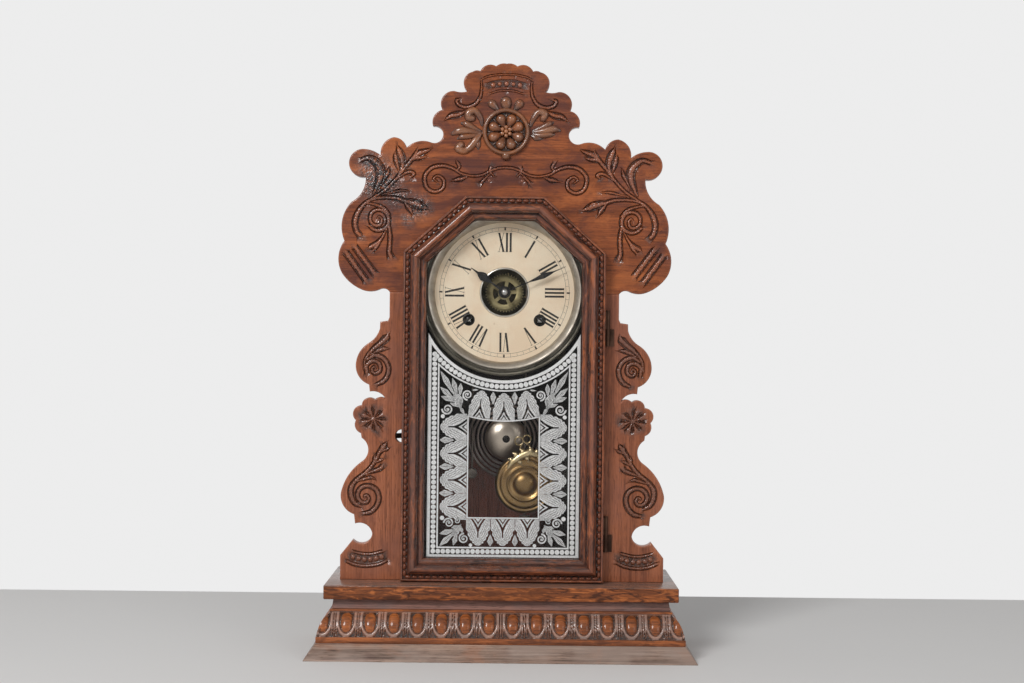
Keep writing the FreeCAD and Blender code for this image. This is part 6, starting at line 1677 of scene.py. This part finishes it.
stencil_dots.polygons.foreach_set("use_smooth", [False] * len(stencil_dots.polygons))
piece("stencil_dots", stencil_dots, None, "door", "nickel")


# ---------------------------------------------------------------- pendulum bob, gong dome and catch hook

bob_low, bob_high = mm_box("pendulum_bob")
BOB = mm_middle(bob_low, bob_high)
BOB_ROUND = (bob_high.x - bob_low.x) / 2
# Bob: share of its radius, share of its height above the rim.
BOB_ROWS = ((0.0, 1.00), (0.08, 0.99), (0.16, 0.95), (0.24, 0.87), (0.31, 0.75), (0.36, 0.60),
            (0.385, 0.47), (0.40, 0.42), (0.45, 0.44), (0.50, 0.50), (0.535, 0.58), (0.56, 0.64),
            (0.58, 0.62), (0.60, 0.52), (0.63, 0.46), (0.68, 0.50), (0.74, 0.51), (0.79, 0.47),
            (0.82, 0.38), (0.845, 0.31), (0.87, 0.33), (0.90, 0.38), (0.92, 0.37), (0.94, 0.30),
            (0.965, 0.22), (0.985, 0.14), (1.0, 0.05), (0.99, 0.0), (0.0, 0.0))
turned_piece("pendulum_bob_turned", BOB_ROWS, BOB, 96, 60.0, bob_brass, "pendulum", "bob_brass",
             "pendulum_bob", base=bob_high.y, high=bob_low.y - bob_high.y, reach=BOB_ROUND)

# Crest of the bob: a gilt leaf spray over its upper rim, and two wire rings with crossed wires.
CREST_FLOOR, CREST_WIRE, CREST_RING, WIRE_ROUND, CREST_SWELL = 3.7, 6.4, 4.0, 0.75, 1.3
CREST_LEAVES = (
    [(5.4, 179.4, 1.0), (8.6, 183.6, 2.2), (12.6, 187.4, 2.6), (19.0, 191.6, 3.0), (26.6, 194.2, 3.0),
     (33.4, 192.2, 2.4), (36.4, 188.6, 1.1)],
    [(9.6, 185.4, 1.9), (7.4, 187.8, 2.0), (5.8, 188.2, 0.9)],
    [(14.4, 189.6, 2.0), (12.4, 192.8, 2.3), (10.4, 193.8, 1.0)],
    [(20.4, 192.8, 2.2), (19.2, 196.2, 2.5), (17.6, 197.6, 1.1)],
    [(27.0, 194.6, 2.2), (27.6, 197.8, 2.5), (27.0, 199.6, 1.1)],
    [(32.4, 193.4, 1.9), (34.4, 196.0, 2.1), (36.4, 196.4, 0.9)],
    [(14.6, 187.0, 1.7), (17.4, 184.6, 1.9), (18.4, 182.4, 0.8)],
    [(22.6, 191.4, 1.8), (25.0, 188.4, 2.0), (25.4, 186.0, 0.8)])
CREST_RINGS = ((15.9, 206.0), (23.9, 208.0))
CREST_WIRES = (((19.6, 206.6), (27.4, 200.2)), ((20.4, 206.4), (16.6, 197.6)))


def add_wire(work, start, end, y, radius, sides=8):
    """A straight wire between two points of one depth."""
    run = (Vector(end) - Vector(start)).normalized()
    loops = []
    for x, z in (start, end):
        loops.append([work.verts.new((x - run.y * radius * math.cos(turn), y + radius * math.sin(turn),
                                      z + run.x * radius * math.cos(turn)))
                      for turn in np.arange(sides) * 2 * math.pi / sides])
    for k in range(sides):
        work.faces.new((loops[0][k - 1], loops[0][k], loops[1][k], loops[1][k - 1]))
    work.faces.new(loops[0])
    work.faces.new(loops[1][::-1])


work = bmesh.new()
for rows in CREST_LEAVES:
    add_roll(work, [(x, z, CREST_SWELL * wide) for x, z, wide in rows], CREST_FLOOR, 0.85, 0.8)
for spot in CREST_RINGS:
    add_turned(work, [(CREST_RING + WIRE_ROUND * math.cos(turn), CREST_WIRE + WIRE_ROUND * math.sin(turn))
                      for turn in np.arange(8) * math.pi / 4], spot, 28, True)
for first, last in CREST_WIRES:
    add_wire(work, first, last, CREST_WIRE, WIRE_ROUND)
made_piece("bob_crest_gilt", work, 45.0, gilt, "pendulum", "bob_brass", "bob_crest")

dome_low, dome_high = mm_box("gong_dome")
DOME = mm_middle(dome_low, dome_high)
DOME_ROUND = (dome_high.x - dome_low.x) / 2
DOME_CROWN, DOME_RISE = 1.4, 7.2
dome_rows = [(DOME_ROUND * share, dome_low.y + DOME_CROWN + DOME_RISE * share ** 2.6)
             for share in np.linspace(0.1, 0.92, 16)]
screw_foot = dome_rows[0][1] + 0.6
dome_rows += [(DOME_ROUND * share, dome_low.y + drop)
              for share, drop in ((0.955, 8.4), (0.98, 9.6), (0.995, 11.2), (1.0, 13.0))]
dome_rows = [(0.0, dome_rows[0][1])] + dome_rows + [(DOME_ROUND, dome_high.y), (0.0, dome_high.y)]
turned_piece("gong_dome_cast", dome_rows, DOME, 72, 60.0, dome_nickel, "case", "nickel", "gong_dome")
screw_rows = ((0.0, -2.0), (0.45, -2.0), (0.5, -1.3), (0.6, -1.3), (0.65, -2.0), (2.6, -1.8), (3.6, -1.1),
              (3.9, -0.3), (3.9, 0.0), (0.0, 0.0))
turned_piece("gong_dome_screw", screw_rows, DOME, 28, 35.0, iron, "case", "nickel", "gong_dome",
             base=screw_foot)

# Hook of the catch: its thick end across the finger hole of the left wing, and a wire up from it.
CATCH_EYE, CATCH_TOP = (-101.7, 210.8), (-96.9, 218.6)
HOOK_DEPTH, HOOK_ROUND, HOOK_SIDES, STEM_DEPTH, STEM_ROUND = 2.5, 2.6, 16, 1.2, 0.85
work = bmesh.new()
add_wire(work, (CATCH_EYE[0] - 4.8, CATCH_EYE[1] - 0.6), (CATCH_EYE[0] + 4.5, CATCH_EYE[1]), HOOK_DEPTH,
         HOOK_ROUND, HOOK_SIDES)
add_wire(work, (CATCH_EYE[0] + 2.4, CATCH_EYE[1] + 1.2), CATCH_TOP, STEM_DEPTH, STEM_ROUND)
made_piece("catch_hook", work, 45.0, iron, "catch", "steel")


# ---------------------------------------------------------------- stage

def stage_plane(name, corners, finish):
    mesh = bpy.data.meshes.new(name)
    mesh.from_pydata(corners, [], [(0, 1, 2, 3)])
    mesh.materials.append(finish)
    made = bpy.data.objects.new(name, mesh)
    bpy.context.scene.collection.objects.link(made)


def make_pale(name, colour):
    it = Finish(name)
    clouds = it.noise(0.4, 3.0)
    tone = it.mix(clouds, colour, darker(colour, 0.97))
    return it.surface(Base_Color=tone, Roughness=0.9)


def make_backdrop(name, colour):
    """Pale to the camera and in glossy and clear surfaces, a plain wall to all other light."""
    it = Finish(name)
    seen = it.add("LightPath", out="Is Camera Ray") + it.add("LightPath", out="Is Glossy Ray")
    seen = seen + it.add("LightPath", out="Is Transmission Ray")
    plain = it.add("BsdfDiffuse", None, {"Color": colour})
    pale = it.add("Emission", None, {"Color": colour, "Strength": 1.0})
    both = it.add("MixShader", None, {0: seen, 1: plain, 2: pale})
    return it.close(both)


FLOOR_TONE, WALL_TONE, ROOM_LIGHT = (0.74, 0.73, 0.72), (0.845, 0.845, 0.845), 0.36
FLOOR_WIDE, FLOOR_NEAR, FLOOR_FAR = 4.0, -3.5, 0.30
WALL_WIDE, WALL_Y, WALL_FOOT, WALL_TOP = 6.0, 3.2, -2.0, 4.0
stage_plane("floor", [(-FLOOR_WIDE, FLOOR_NEAR, 0), (FLOOR_WIDE, FLOOR_NEAR, 0), (FLOOR_WIDE, FLOOR_FAR, 0),
                      (-FLOOR_WIDE, FLOOR_FAR, 0)], make_pale("floor_pale", FLOOR_TONE))
stage_plane("backdrop", [(-WALL_WIDE, WALL_Y, WALL_FOOT), (WALL_WIDE, WALL_Y, WALL_FOOT),
                         (WALL_WIDE, WALL_Y, WALL_TOP), (-WALL_WIDE, WALL_Y, WALL_TOP)],
            make_backdrop("wall_pale", WALL_TONE))

world = bpy.data.worlds.new("soft_room")
bpy.context.scene.world = world
world.use_nodes = True
world.node_tree.nodes["Background"].inputs["Color"].default_value = (1.0, 1.0, 1.0, 1.0)
world.node_tree.nodes["Background"].inputs["Strength"].default_value = ROOM_LIGHT


def lamp(name, place, aim, size, power):
    light = bpy.data.lights.new(name, "AREA")
    light.shape = "RECTANGLE"
    light.size, light.size_y = size
    light.energy = power
    made = bpy.data.objects.new(name, light)
    turn = (Vector(aim) - Vector(place)).to_track_quat("-Z", "Y").to_matrix().to_4x4()
    made.matrix_world = Matrix.Translation(place) @ turn
    bpy.context.scene.collection.objects.link(made)


lamp("window_lamp", (-1.3, -2.1, 1.75), (0.0, 0.0, 0.28), (0.9, 0.9), 52.0)
lamp("fill_lamp", (1.7, -2.0, 0.9), (0.0, 0.0, 0.3), (1.6, 1.6), 11.0)


# ---------------------------------------------------------------- other nodes

for finish, nodes in (
        (inner_oak, "movement_rails"), (case_oak, "glass_retainers"), (pane_glass, "door_glass"),
        (gong_steel, "gong_coil"), (iron, "gong_base"), (hand_black, "hour_hand minute_hand"),
        (steel, "hand_nut cannon_pinion catch_pin door_catch door_tongue movement_screws strike_fly "
                "strike_mainspring time_mainspring strike_winding_arbor time_winding_arbor verge"),
        (dull_steel, "pendulum_rod strike_hammer"),
        (hinge_brown, "hinge_pins hinge_leaves_case hinge_leaves_door"),
        (plate_brass, "back_plate front_plate dial_posts minute_wheel"), (wheel_brass, "hour_wheel"),
        (brass, "centre_wheel escape_wheel plate_pillars second_wheel strike_great_wheel "
                "strike_second_wheel suspension_stud third_wheel time_great_wheel")):
    for node in nodes.split():
        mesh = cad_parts[node].data
        mesh.materials.clear()
        mesh.materials.append(finish)
